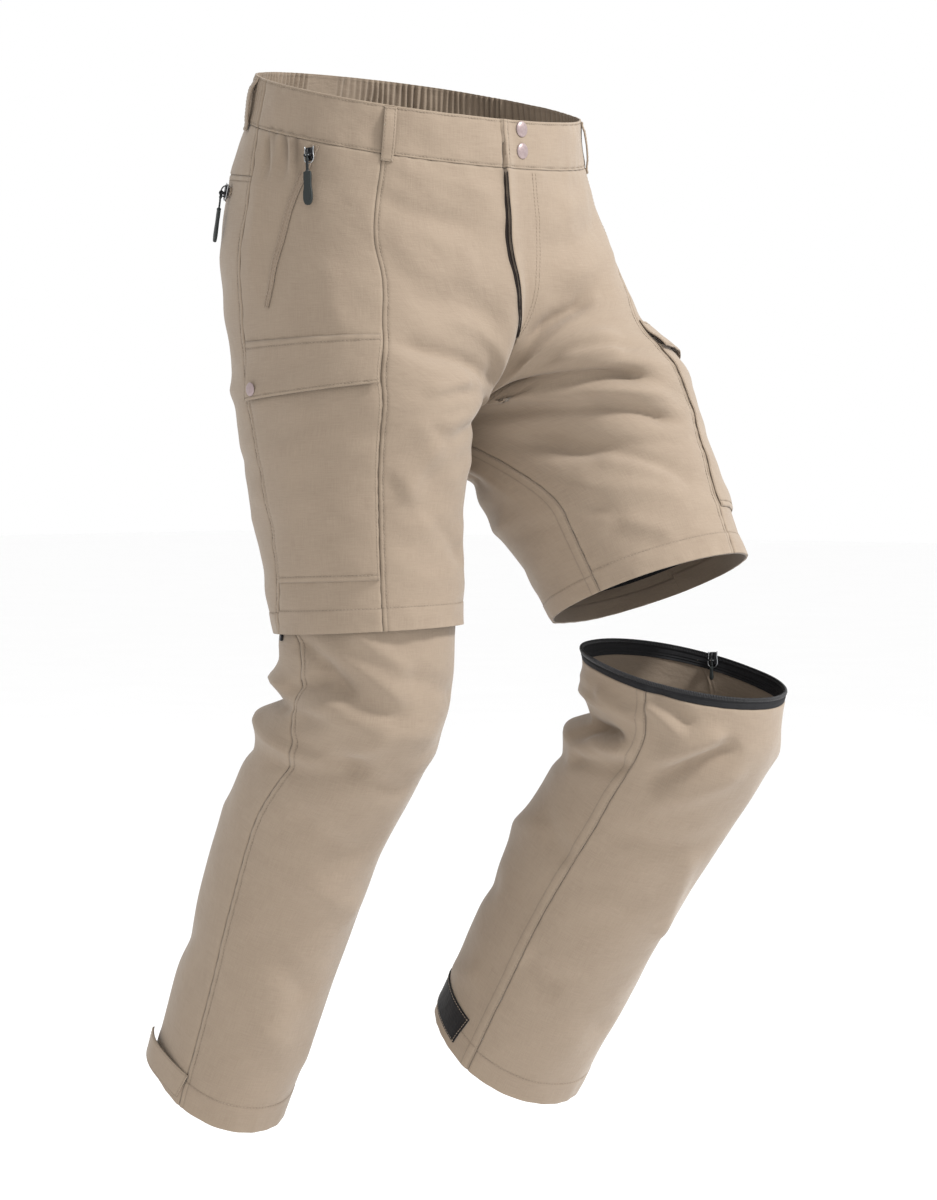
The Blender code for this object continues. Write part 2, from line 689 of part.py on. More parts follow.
# Cargo pockets: a flap and a pocket over the whole side panel on each thigh.
FLAP_ROWS = (0.665, 0.74, 0.82, 0.865)
FLAP_LIFT = (-1.9, -0.9, 2.2, 3.4)
POCKET_ROWS = (0.83, 0.92, 1.0, 1.1, 1.2, 1.3, 1.4, 1.5, 1.6, 1.7, 1.775)
POCKET_BULGE = 2.5
PATCH_SHARES = (0.012, 0.14, 0.28, 0.42, 0.508, 0.596, 0.684, 0.772, 0.86, 0.988)
PATCH_LIFT = 0.7
PATCH_THICK = 1.2
FLAP_BACK_DROP = 0.03
FLAP_CROWN = 0.9


def cargo_pocket(side):
    cloth = SIDE_TRUNK[side]
    crown = np.sin(pi * np.array(PATCH_SHARES))
    s, v = side_places(side, POCKET_ROWS, PATCH_SHARES)
    down = np.linspace(0, 1, len(POCKET_ROWS))
    bulge = POCKET_BULGE * np.outer(np.sin(pi * down) ** 0.5, crown)
    low = CLOTH / 2 + PATCH_LIFT
    wall("cargo_" + side, cloth, s, v, KHAKI, low=low, high=low + PATCH_THICK, relief=bulge, gap=0)
    s, v = side_places(side, FLAP_ROWS, PATCH_SHARES)
    rows = np.linspace(0, 1, len(FLAP_ROWS))
    v = v + FLAP_BACK_DROP * np.outer(rows, PATCH_SHARES)
    low = CLOTH / 2 + 2 * PATCH_LIFT + PATCH_THICK
    relief = np.array(FLAP_LIFT)[:, None] + FLAP_CROWN * np.outer(rows, crown)
    wall("flap_" + side, cloth, s, v, KHAKI, low=low, high=low + PATCH_THICK, relief=relief, gap=0)


# Snaps: a low turned cap.
SNAP_PROFILE = ((0, 2.2), (4.2, 2.0), (6.4, 1.2), (7.4, 0.5), (7.4, 0), (0, 0))
SNAP_STEPS = 16
WELD_WITHIN = 0.00001


def turned(name, profile, point, out, paint, size=1.0):
    """A closed turned piece standing on a point of the cloth."""
    mesh = bpy.data.meshes.new(name)
    points = [(size * MM * r, 0, size * MM * h) for r, h in profile]
    edges = [(i, i + 1) for i in range(len(points) - 1)]
    mesh.from_pydata(points, edges, [])
    thing = put(name, mesh, paint)
    screw = thing.modifiers.new("turn", "SCREW")
    screw.axis = "Z"
    screw.steps = SNAP_STEPS
    screw.render_steps = SNAP_STEPS
    screw.use_merge_vertices = True
    screw.merge_threshold = WELD_WITHIN
    weld = thing.modifiers.new("weld", "WELD")
    weld.merge_threshold = WELD_WITHIN
    thing.matrix_world = Matrix.Translation(point) @ out.to_track_quat("Z", "X").to_matrix().to_4x4()


WAIST_SNAP_ROUND = -0.002
WAIST_SNAPS = (("waist_snap_upper", -0.147), ("waist_snap_lower", -0.066))
FLAP_SNAP = (0.90, 0.845)
FLAP_SNAP_LIFT = 7.9
FLAP_SNAP_SIZE = 0.85


def snaps():
    for name, v in WAIST_SNAPS:
        point, out, down = TRUNK.frame(WAIST_SNAP_ROUND, v, CLOTH / 2 + SEAM_GAP)
        turned(name, SNAP_PROFILE, point, out, METAL)
    for side in SIGN:
        share, v = FLAP_SNAP
        front = read(FRONT_SEAM[side], ROUND, v)
        s = SIGN[side] * (front + (read(BACK_SEAM[side], ROUND, v) - front) * share)
        point, out, down = SIDE_TRUNK[side].frame(s, v, FLAP_SNAP_LIFT)
        turned("flap_snap_" + side, SNAP_PROFILE, point, out, METAL, FLAP_SNAP_SIZE)


# Zip sliders and their pulls. Each pull's eye turns on the pin of its slider's bridge.
SLIDER_SIZE = (7.5, 13, 3)
BRIDGE_WIDE = 6.4
POST_WIDE = 1.2
POST_LONG = 2.4
POST_SUNK = 0.5
POST_OVER_PIN = 0.6
PIN_RADIUS = 0.7
PIN_OVER = 3.4
PIN_ENDS = 0.4
PIN_PLACE = (0, -2, SLIDER_SIZE[2] - POST_SUNK + PIN_OVER)
EYE_HOLE = 1.15
EYE_RADIUS = 2.2
PULL_THICK = 2.6
CORD_WIDE = 1.92
CORD_STARTS = 1.4
GRIP_WIDE = (7.4, 9.4)
GRIP_OVER_CORD = 2
PULL_LENGTHS = (17, 46)
HOLE_THROUGH = 2
ROD_SIDES = 12


def box(name, size, centre):
    """A box as a new mesh object, in millimetres, not yet placed."""
    mesh = bpy.data.meshes.new(name)
    work = bmesh.new()
    bmesh.ops.create_cube(work, size=1.0)
    place = Matrix.Translation(Vector(centre) * MM) @ Matrix.Diagonal((*(MM * n for n in size), 1.0))
    bmesh.ops.transform(work, matrix=place, verts=work.verts)
    work.to_mesh(mesh)
    work.free()
    return bpy.data.objects.new(name, mesh)


def rod(name, radius, length, centre):
    """A rod along X as a new mesh object, in millimetres."""
    mesh = bpy.data.meshes.new(name)
    work = bmesh.new()
    bmesh.ops.create_cone(
        work, cap_ends=True, segments=ROD_SIDES, radius1=radius * MM, radius2=radius * MM, depth=length * MM
    )
    place = Matrix.Translation(Vector(centre) * MM) @ Matrix.Rotation(pi / 2, 4, "Y")
    bmesh.ops.transform(work, matrix=place, verts=work.verts)
    work.to_mesh(mesh)
    work.free()
    return bpy.data.objects.new(name, mesh)


def joined(base, others):
    """Union of overlapping objects, as the base object."""
    for other in others:
        union = base.modifiers.new("union", "BOOLEAN")
        union.operation = "UNION"
        union.object = helper(other)


def helper(thing):
    """Keep an object only as a shape to join or cut with."""
    CUTTERS.objects.link(thing)
    thing.hide_render = True
    thing.display_type = "WIRE"
    return thing


def standing(point, out, down):
    """A frame on the cloth: Z out of it, Y up it, X across."""
    across = out.cross(down).normalized()
    turn = Matrix((across, -down, out)).transposed().to_4x4()
    return Matrix.Translation(point) @ turn


def slider(name, frame):
    """A slider's body with the bridge and pin that hold its pull."""
    wide, long, thick = SLIDER_SIZE
    body = box(name, (wide, long, thick), (0, 0, thick / 2))
    high = PIN_OVER + PIN_RADIUS + POST_OVER_PIN
    middle = thick - POST_SUNK + high / 2
    posts = [
        box(name + "_post", (POST_WIDE, POST_LONG, high), (end * BRIDGE_WIDE / 2, PIN_PLACE[1], middle))
        for end in (-1, 1)
    ]
    pin = rod(name + "_pin", PIN_RADIUS, BRIDGE_WIDE + PIN_ENDS, PIN_PLACE)
    body.data.materials.append(METAL)
    PARTS.objects.link(body)
    joined(body, posts + [pin])
    for thing in [body] + posts + [pin]:
        thing.matrix_world = frame


def pull(name, pin, paint, size=1.0):
    """A pull whose eye turns on the slider's pin; its origin is on the pin."""
    cord_end, end = (size * n for n in PULL_LENGTHS)
    top, foot = (size * n for n in GRIP_WIDE)
    eye = rod(name, EYE_RADIUS, PULL_THICK, (0, 0, 0))
    cord_long = cord_end - CORD_STARTS
    cord = box(name + "_cord", (CORD_WIDE, cord_long, CORD_WIDE), (0, -CORD_STARTS - cord_long / 2, 0))
    grip_long = end - cord_end + GRIP_OVER_CORD
    grip = box(name + "_grip", (1, grip_long, PULL_THICK), (0, grip_long / 2 - end, 0))
    for vertex in grip.data.vertices:
        low = vertex.co.y < -MM * (cord_end + end) / 2
        vertex.co.x *= foot if low else top
    hole = rod(name + "_hole", EYE_HOLE, PULL_THICK + HOLE_THROUGH, (0, 0, 0))
    eye.data.materials.append(paint)
    PARTS.objects.link(eye)
    joined(eye, [cord, grip])
    cut = eye.modifiers.new("eye", "BOOLEAN")
    cut.operation = "DIFFERENCE"
    cut.object = helper(hole)
    for thing in (eye, cord, grip, hole):
        thing.matrix_world = pin


PULL_TILT = radians(13)
BACK_PULL_TILT = radians(-8)
SLANT_SLIDER_SHARE = 0.07
BACK_SLIDER_PLACE = (-0.657, 0.238)
SLIDER_LIFT = CLOTH / 2 + LAID_ON + WELT_THICK + 2 * SEAM_GAP


def pocket_pulls():
    """Sliders and pulls of the three zipped pockets, hanging down the cloth."""
    for side in SIGN:
        s, v = slant_place(side, SLANT_SLIDER_SHARE)
        point, out, down = SIDE_TRUNK[side].frame(s, v, SLIDER_LIFT)
        hung_pull(side, point, out, down, -SIGN[side] * PULL_TILT)
    point, out, down = SIDE_TRUNK["right"].frame(*BACK_SLIDER_PLACE, SLIDER_LIFT)
    hung_pull("back", point, out, down, BACK_PULL_TILT)


PULL_STANDS = radians(-3)


def hung_pull(name, point, out, down, tilt):
    """One slider with its pull, which hangs a few degrees in towards the cloth."""
    base = standing(point, out, down) @ Matrix.Rotation(tilt, 4, "Z")
    slider("slider_" + name, base)
    pin = base @ Matrix.Translation(Vector(PIN_PLACE) * MM)
    pull("pull_" + name, pin @ Matrix.Rotation(-PULL_STANDS, 4, "X"), RUBBER)


# Leg zips: the loose leg's slider inside its top edge, with a small pull, and the end of
# the other slider, which shows below the right shorts' hem.
LEG_SLIDER_PLACE = (0.51, 0.012)
LEG_SLIDER_IN = 2.4
LEG_PULL_SIZE = 0.4
ZIP_END_PLACE = (0.585, 0.046)
ZIP_END_SIZE = (5, 6, 2.4)


def leg_sliders():
    point, out, down = SHIN["left"].frame(*LEG_SLIDER_PLACE, -LEG_SLIDER_IN)
    base = standing(point, -out, down)
    slider("leg_slider_left", base)
    pin = base @ Matrix.Translation(Vector(PIN_PLACE) * MM)
    pull("leg_pull_left", pin, RUBBER, LEG_PULL_SIZE)
    u, v = ZIP_END_PLACE
    point, out, down = SHIN["right"].frame(-u, v, CLOTH / 2 + 2 * SEAM_GAP)
    end = box("leg_slider_right", ZIP_END_SIZE, (0, 0, ZIP_END_SIZE[2] / 2))
    end.data.materials.append(BLACK)
    PARTS.objects.link(end)
    end.matrix_world = standing(point, out, down)


# Hem tabs and the loop patches that they close onto.
TAB_LONG = (0.472, 0.630)
TAB_ALONG = 0.968
TAB_WIDE = 27
TAB_PROUD = 6
TAB_RISES_BY = 0.83
TAB_THICK = 1.6
LOOP_PATCH = (0.80, 0.955)
LOOP_PATCH_ALONG = 0.945
LOOP_PATCH_WIDE = 30
LOOP_PATCH_THICK = 1.2
TRIM_CELLS = 6


def hem_trims(side):
    cloth = SHIN[side]
    shares = np.linspace(0, 1, TRIM_CELLS + 1)
    rise = TAB_PROUD * smooth(shares / TAB_RISES_BY)
    start, end = TAB_LONG
    path = [(SIGN[side] * (start + (end - start) * t), TAB_ALONG, up) for t, up in zip(shares, rise)]
    strip("hem_tab_" + side, cloth, path, TAB_WIDE, KHAKI, CLOTH / 2 + LAID_ON, TAB_THICK)
    start, end = LOOP_PATCH
    path = [(SIGN[side] * (start + (end - start) * t), LOOP_PATCH_ALONG, 0.0) for t in shares]
    lift = CLOTH / 2 + LAID_ON
    strip("loop_patch_" + side, cloth, path, LOOP_PATCH_WIDE, BLACK, lift, LOOP_PATCH_THICK)


def build():
    for side in SIGN:
        panels(side)
        band_front(side)
        lower_leg(side)
        cargo_pocket(side)
        hem_trims(side)
    band_back()
    leg_zips()
    belt_loops()
    pocket_zips()
    snaps()
    pocket_pulls()
    leg_sliders()


for thing in list(bpy.data.objects):
    bpy.data.objects.remove(thing, do_unlink=True)
PARTS = bpy.data.collections.new("zip_off_trousers")
bpy.context.scene.collection.children.link(PARTS)
CUTTERS = bpy.data.collections.new("cutters")
bpy.context.scene.collection.children.link(CUTTERS)
KHAKI = material("khaki_cloth", (0.42, 0.34, 0.26), 0.85)
BLACK = material("black_tape", (0.02, 0.02, 0.022), 0.7)
METAL = material("brushed_metal", (0.45, 0.40, 0.40), 0.35, 1.0)
RUBBER = material("black_rubber", (0.012, 0.016, 0.015), 0.5)
build()
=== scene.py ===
# The looks of the convertible zip-off trousers: fine cloth with its folds, seams, stitching,
# zips, snaps and pulls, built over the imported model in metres.

import json

from math import cos, pi, radians, sin

import bmesh
import bpy
import numpy as np
from mathutils import Matrix, Vector

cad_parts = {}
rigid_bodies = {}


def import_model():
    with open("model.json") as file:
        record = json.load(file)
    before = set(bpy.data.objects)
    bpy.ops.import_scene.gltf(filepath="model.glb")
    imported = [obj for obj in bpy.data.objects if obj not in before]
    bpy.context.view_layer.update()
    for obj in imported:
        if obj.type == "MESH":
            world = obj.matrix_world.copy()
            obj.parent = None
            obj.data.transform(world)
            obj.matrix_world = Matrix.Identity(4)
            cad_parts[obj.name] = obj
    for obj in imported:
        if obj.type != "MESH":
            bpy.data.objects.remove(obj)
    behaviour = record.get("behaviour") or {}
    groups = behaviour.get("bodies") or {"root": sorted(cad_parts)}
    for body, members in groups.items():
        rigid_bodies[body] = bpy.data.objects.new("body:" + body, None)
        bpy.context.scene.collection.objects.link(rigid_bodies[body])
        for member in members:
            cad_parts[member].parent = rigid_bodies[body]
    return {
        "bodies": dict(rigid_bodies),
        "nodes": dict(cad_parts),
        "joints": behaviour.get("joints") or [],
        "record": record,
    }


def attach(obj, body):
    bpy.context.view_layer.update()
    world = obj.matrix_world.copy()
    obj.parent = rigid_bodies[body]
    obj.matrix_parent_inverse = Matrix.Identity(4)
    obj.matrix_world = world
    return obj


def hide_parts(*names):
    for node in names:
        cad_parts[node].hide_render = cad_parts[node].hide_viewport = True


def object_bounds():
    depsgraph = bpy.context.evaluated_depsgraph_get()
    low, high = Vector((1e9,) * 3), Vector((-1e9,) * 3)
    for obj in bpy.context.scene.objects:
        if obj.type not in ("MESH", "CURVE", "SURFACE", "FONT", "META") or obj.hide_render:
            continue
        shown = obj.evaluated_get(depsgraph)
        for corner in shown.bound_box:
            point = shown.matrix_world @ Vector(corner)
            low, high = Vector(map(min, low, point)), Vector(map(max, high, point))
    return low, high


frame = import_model()
CAD_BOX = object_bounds()

MM = 0.001

# Cloth and seams, in millimetres.
CLOTH = 1.2
SEAM_GAP = 0.3
LAID_ON = 0.6
WELT_THICK = 1.2
TAPE_THICK = 1.0

# The waist and seat: rings from the waistband's top edge down to the crotch.
# along: place down the garment. y, z: middle. wide: half width. front, back: half depths.
# lean: degrees that the ring drops to the front. square: 2 is an ellipse.
HIP_COLUMNS = ("along", "y", "z", "wide", "front", "back", "lean", "square")
HIP_RINGS = (
    (-0.18, 0, 0, 168, 126, 125, 12.3, 2.15),
    (0.00, 3, -44, 175, 131, 131, 12.0, 2.15),
    (0.22, 8, -100, 187, 138, 146, 10.0, 2.15),
    (0.50, 12, -172, 192, 142, 152, 6.0, 2.2),
    (0.80, 8, -245, 190, 142, 144, 3.0, 2.2),
    (1.00, 3, -300, 188, 140, 136, 2.0, 2.2),
)

# The legs: rings from the crotch to the shorts' hem, then from the leg zip to the trouser hem.
# x, y, z: middle. wide, deep: half sizes. pitch: degrees that the front is high.
# roll: degrees that the inner side is high. turn: degrees that the seams are turned round.
LEG_COLUMNS = ("along", "x", "y", "z", "wide", "deep", "pitch", "roll", "turn", "square")
THIGH_RINGS = {
    "right": (
        (1.00, -98, -12, -300, 96, 115, 4, 0, 0, 2.15),
        (1.25, -100, -12, -345, 93, 106, 3, 0, 0, 2.1),
        (1.60, -99, -17, -412, 88, 94, 2, 0, 0, 2.1),
        (2.00, -98, -26, -491, 85, 85, 2, 2, 0, 2.1),
    ),
    "left": (
        (1.00, 105, -92, -297, 104, 118, 22, 0, 4, 2.15),
        (1.30, 115, -113, -345, 102, 108, 24, -2, 14, 2.1),
        (1.60, 123, -134, -390, 98, 101, 24, -3, 12, 2.1),
        (2.00, 135, -167, -457, 92, 92, 21, -4, 10, 2.1),
    ),
}
SHIN_RINGS = {
    "right": (
        (0.00, -98, -26, -478, 78.5, 78.5, 2, 2, 0, 2.1),
        (0.18, -98, -20, -550, 78, 80, -8, 2, 0, 2.1),
        (0.30, -98, 7, -600, 76, 78, -20, 2, 0, 2.1),
        (0.50, -98, 58, -680, 75, 74, -27, 2, 0, 2.1),
        (0.75, -98, 110, -795, 72, 71, -28, 3, 0, 2.1),
        (1.00, -98, 166, -926, 68, 67, -36, 4, 0, 2.1),
    ),
    "left": (
        (0.00, 140, -203, -530, 95, 95, -15, 1, 18, 2.1),
        (0.12, 140, -203, -570, 92, 90, -18, 0, 18, 2.1),
        (0.30, 140, -158, -642, 88, 86, -28, 0, 17, 2.1),
        (0.60, 134, -88, -745, 86, 82, -35, 0, 16, 2.1),
        (1.00, 121, -4, -896, 80, 76, -42, 0, 16, 2.1),
    ),
}

SIGN = {"right": -1, "left": 1}

# The rise: where its curve to the crotch starts, and the crotch point.
RISE_STARTS = 0.42
CROTCH = (0, -9, -300)
RISE_REACH = 0.10
HIPS_TO_THIGH = (0.25, 1.0)
CROTCH_ALONG = 1.0
HEM_ALONG = 2.0
RISE_FADES_BY = 0.6

# Seams that run down the garment: how far round each lies (0 middle front, 1 middle back).
SEAM_COLUMNS = ("along", "round")
ROUND = SEAM_COLUMNS.index("round")
FRONT_SEAM = {
    "right": ((0, 0.285), (0.40, 0.285), (0.65, 0.33), (0.87, 0.36), (1.5, 0.355), (2, 0.355)),
    "left": ((0, 0.285), (0.40, 0.285), (0.70, 0.28), (1.0, 0.275), (1.4, 0.265), (2, 0.25)),
}
BACK_SEAM = {
    "right": ((0, 0.60), (0.2, 0.565), (0.6, 0.565), (0.9, 0.562), (1.3, 0.542), (1.7, 0.54), (2, 0.57)),
    "left": ((0, 0.60), (0.2, 0.58), (0.6, 0.57), (0.9, 0.56), (1.3, 0.54), (1.7, 0.53), (2, 0.53)),
}
OUTSEAM = ((0, 0.547), (0.12, 0.515), (0.21, 0.53), (0.30, 0.485), (0.45, 0.495), (0.6, 0.485), (1, 0.468))
FLY_EDGE = ((-0.18, 0.046), (0, 0.040), (0.3, 0.030), (0.5, 0.016), (0.6, 0.0), (2, 0.0))
FLY_END = 0.6
YOKE_SEAM = ((0, 0.165), (0.5, 0.20), (1, 0.25))


def smooth(t):
    """Ease from 0 to 1."""
    t = np.clip(t, 0.0, 1.0)
    return t * t * (3 - 2 * t)


def slopes(along, values):
    """Slopes at the rows of a table that keep a curve through them from overshooting."""
    step = np.diff(along)
    rise = np.diff(values) / step
    slope = np.empty(len(along))
    slope[0] = rise[0]
    slope[-1] = rise[-1]
    for i in range(1, len(along) - 1):
        slope[i] = 0.0
        if rise[i - 1] * rise[i] > 0:
            before = 2 * step[i] + step[i - 1]
            after = step[i] + 2 * step[i - 1]
            slope[i] = (before + after) / (before / rise[i - 1] + after / rise[i])
    return slope


KNOTS = {}


def knots(rows, column):
    """A table column's places, values and slopes, worked out once."""
    if (rows, column) not in KNOTS:
        along = np.array([row[0] for row in rows], float)
        values = np.array([row[column] for row in rows], float)
        KNOTS[rows, column] = along, values, slopes(along, values)
    return KNOTS[rows, column]


def read(rows, column, at):
    """Read one column of a table smoothly at any place, straight on past its ends."""
    along, values, slope = knots(tuple(rows), column)
    i = np.clip(np.searchsorted(along, at) - 1, 0, len(along) - 2)
    step = along[i + 1] - along[i]
    t = (at - along[i]) / step
    inside = np.clip(t, 0, 1)
    level = values[i] * (1 + 2 * inside) * (1 - inside) ** 2
    level = level + values[i + 1] * inside**2 * (3 - 2 * inside)
    level = level + step * slope[i] * inside * (1 - inside) ** 2
    level = level - step * slope[i + 1] * inside**2 * (1 - inside)
    return level + step * (slope[i] * np.minimum(t, 0) + slope[i + 1] * np.maximum(t - 1, 0))


def curves(rows, columns, at):
    """Read every column of a table after its first."""
    along = knots(rows, 1)[0]
    i = np.clip(np.searchsorted(along, at) - 1, 0, len(along) - 2)
    step = along[i + 1] - along[i]
    t = (at - along[i]) / step
    x = np.clip(t, 0, 1)
    here = (1 + 2 * x) * (1 - x) ** 2
    there = x**2 * (3 - 2 * x)
    leave = step * (x * (1 - x) ** 2 + np.minimum(t, 0))
    arrive = step * (np.maximum(t - 1, 0) - x**2 * (1 - x))
    found = []
    for k in range(1, len(columns)):
        _, values, slope = knots(rows, k)
        found.append(values[i] * here + values[i + 1] * there + slope[i] * leave + slope[i + 1] * arrive)
    return found


def power(x, n):
    """Signed power that turns a circle's sine or cosine into a squarer ring's."""
    return np.sign(x) * np.abs(x) ** (2.0 / n)


def hip_point(s, v):
    """A point on the waist and seat's rings. s runs from -1, middle back by way of the right,
    through 0, middle front, to 1, middle back by way of the left."""
    y, z, wide, front, back, lean, square = curves(HIP_RINGS, HIP_COLUMNS, v)
    forward = power(np.cos(pi * s), square)
    out = power(np.sin(pi * s), square)
    dy = -np.where(forward > 0, front, back) * forward
    return MM * np.stack([wide * out, y + dy, z + np.tan(np.radians(lean)) * dy], -1)


def leg_point(rings, sign, s, v):
    """A point on a leg's rings. s is 0 at the inseam, a half at the outer side, and has
    the side's sign."""
    x, y, z, wide, deep, pitch, roll, turn, square = curves(rings, LEG_COLUMNS, v)
    angle = 2 * pi * s * sign + np.radians(turn)
    inward = wide * power(np.cos(angle), square)
    forward = deep * power(np.sin(angle), square)
    pitch = np.radians(pitch)
    roll = np.radians(roll)
    return MM * np.stack(
        [
            x - sign * np.cos(roll) * inward,
            y - np.cos(pitch) * forward,
            z + np.sin(roll) * inward + np.sin(pitch) * forward,
        ],
        -1,
    )


def rise_point(end, v):
    """The seam down the middle of the front (end 0) or back (end 1), round to the crotch."""
    ends = np.full_like(v, end)
    straight = hip_point(ends, v)
    start = hip_point(ends, np.full_like(v, RISE_STARTS))
    turn = np.clip((v - RISE_STARTS) / (CROTCH_ALONG - RISE_STARTS), 0, 1) * pi / 2
    y = start[..., 1] + (MM * CROTCH[1] - start[..., 1]) * (1 - np.cos(turn))
    z = start[..., 2] + (MM * CROTCH[2] - start[..., 2]) * np.sin(turn)
    curve = np.stack([np.zeros_like(y), y, z], -1)
    return np.where((v <= RISE_STARTS)[..., None], straight * [0, 1, 1], curve)


def side_trunk(side, sign, s, v):
    """A point on one side's cloth from the waist to the shorts' hem, before folds."""
    rings = THIGH_RINGS[side]

    def rough(s, v):
        low, high = HIPS_TO_THIGH
        mix = smooth((v - low) / (high - low))[..., None]
        thigh = leg_point(rings, sign, s, v)
        upper = (1 - mix) * hip_point(s, v) + mix * thigh
        return np.where((v < CROTCH_ALONG)[..., None], upper, thigh)

    point = rough(s, v)
    above = np.minimum(v, CROTCH_ALONG)
    fade = (1 - smooth((v - CROTCH_ALONG) / RISE_FADES_BY))[..., None]
    for end in (0.0, 1.0):
        reach = np.exp(-((np.abs(np.abs(s) - end) / RISE_REACH) ** 2))[..., None]
        miss = rise_point(end, above) - rough(np.full_like(s, end * sign), above)
        point = point + reach * fade * miss
    return point




# Broad swells of the cloth: which part, how far round and along, the reach each way,
# and the push in millimetres (x, y, z).
SWELLS = (("left", 0.27, 0.46, 0.20, 0.26, (0, -30, 0)),)
SWELL_FADE = 0.12

# Folds: which part, its two ends (round, along), how high it stands (below 0 a hollow),
# and its half width, in millimetres.
FOLDS = (
    ("left", (0.010, 0.60), (0.15, 0.53), -6, 11),
    ("left", (0.030, 0.70), (0.20, 0.76), 6, 15),
    ("left", (0.035, 0.85), (0.21, 1.05), -9, 12),
    ("left", (0.060, 0.96), (0.22, 1.17), 5, 13),
    ("left", (0.050, 1.06), (0.22, 1.31), -5, 12),
    ("left", (0.045, 1.24), (0.20, 1.62), -5, 13),
    ("left", (0.960, 1.20), (0.97, 1.60), 4, 14),
    ("left", (0.800, 0.95), (0.95, 1.10), 6, 16),
    ("left", (0.780, 1.15), (0.94, 1.28), -5, 14),
    ("right", (0.270, 0.08), (0.17, 0.17), 3, 12),
    ("right", (0.250, 0.28), (0.11, 0.36), 4, 15),
    ("right", (0.300, 0.70), (0.15, 0.79), -5, 14),
    ("right", (0.150, 0.93), (0.27, 1.05), 5, 14),
    ("right", (0.300, 1.06), (0.23, 1.24), 4, 14),
    ("right", (0.330, 1.29), (0.27, 1.59), 4, 15),
    ("right", (0.800, 0.95), (0.95, 1.08), -6, 14),
    ("right", (0.780, 1.12), (0.93, 1.22), 5, 14),
    ("right_shin", (0.730, 0.215), (0.47, 0.215), -8, 13),
    ("right_shin", (0.800, 0.150), (0.55, 0.165), 6, 12),
    ("right_shin", (0.780, 0.285), (0.46, 0.290), 7, 13),
    ("right_shin", (0.520, 0.330), (0.34, 0.300), -4, 12),
    ("right_shin", (0.470, 0.090), (0.40, 0.160), -4, 12),
    ("left_shin", (0.700, 0.185), (0.93, 0.190), -8, 12),
    ("left_shin", (0.720, 0.120), (0.95, 0.115), 6, 11),
    ("left_shin", (0.700, 0.250), (0.97, 0.225), 6, 12),
    ("left_shin", (0.030, 0.210), (0.16, 0.130), -4, 12),
)
FOLD_FADE = 0.06
ROUND_MM = {"right": 560, "left": 600, "right_shin": 480, "left_shin": 540}
ALONG_MM = {"right": 240, "left": 230, "right_shin": 480, "left_shin": 440}


def swelling(part, u, v):
    """How far the cloth is pushed by the broad swells, faded out at the middle seams."""
    push = np.zeros(u.shape + (3,))
    for place, u0, v0, u_reach, v_reach, way in SWELLS:
        if place == part:
            share = np.exp(-(((u - u0) / u_reach) ** 2) - ((v - v0) / v_reach) ** 2)
            push += MM * share[..., None] * np.array(way, float)
    return push * smooth(np.minimum(u, 1 - u) / SWELL_FADE)[..., None]



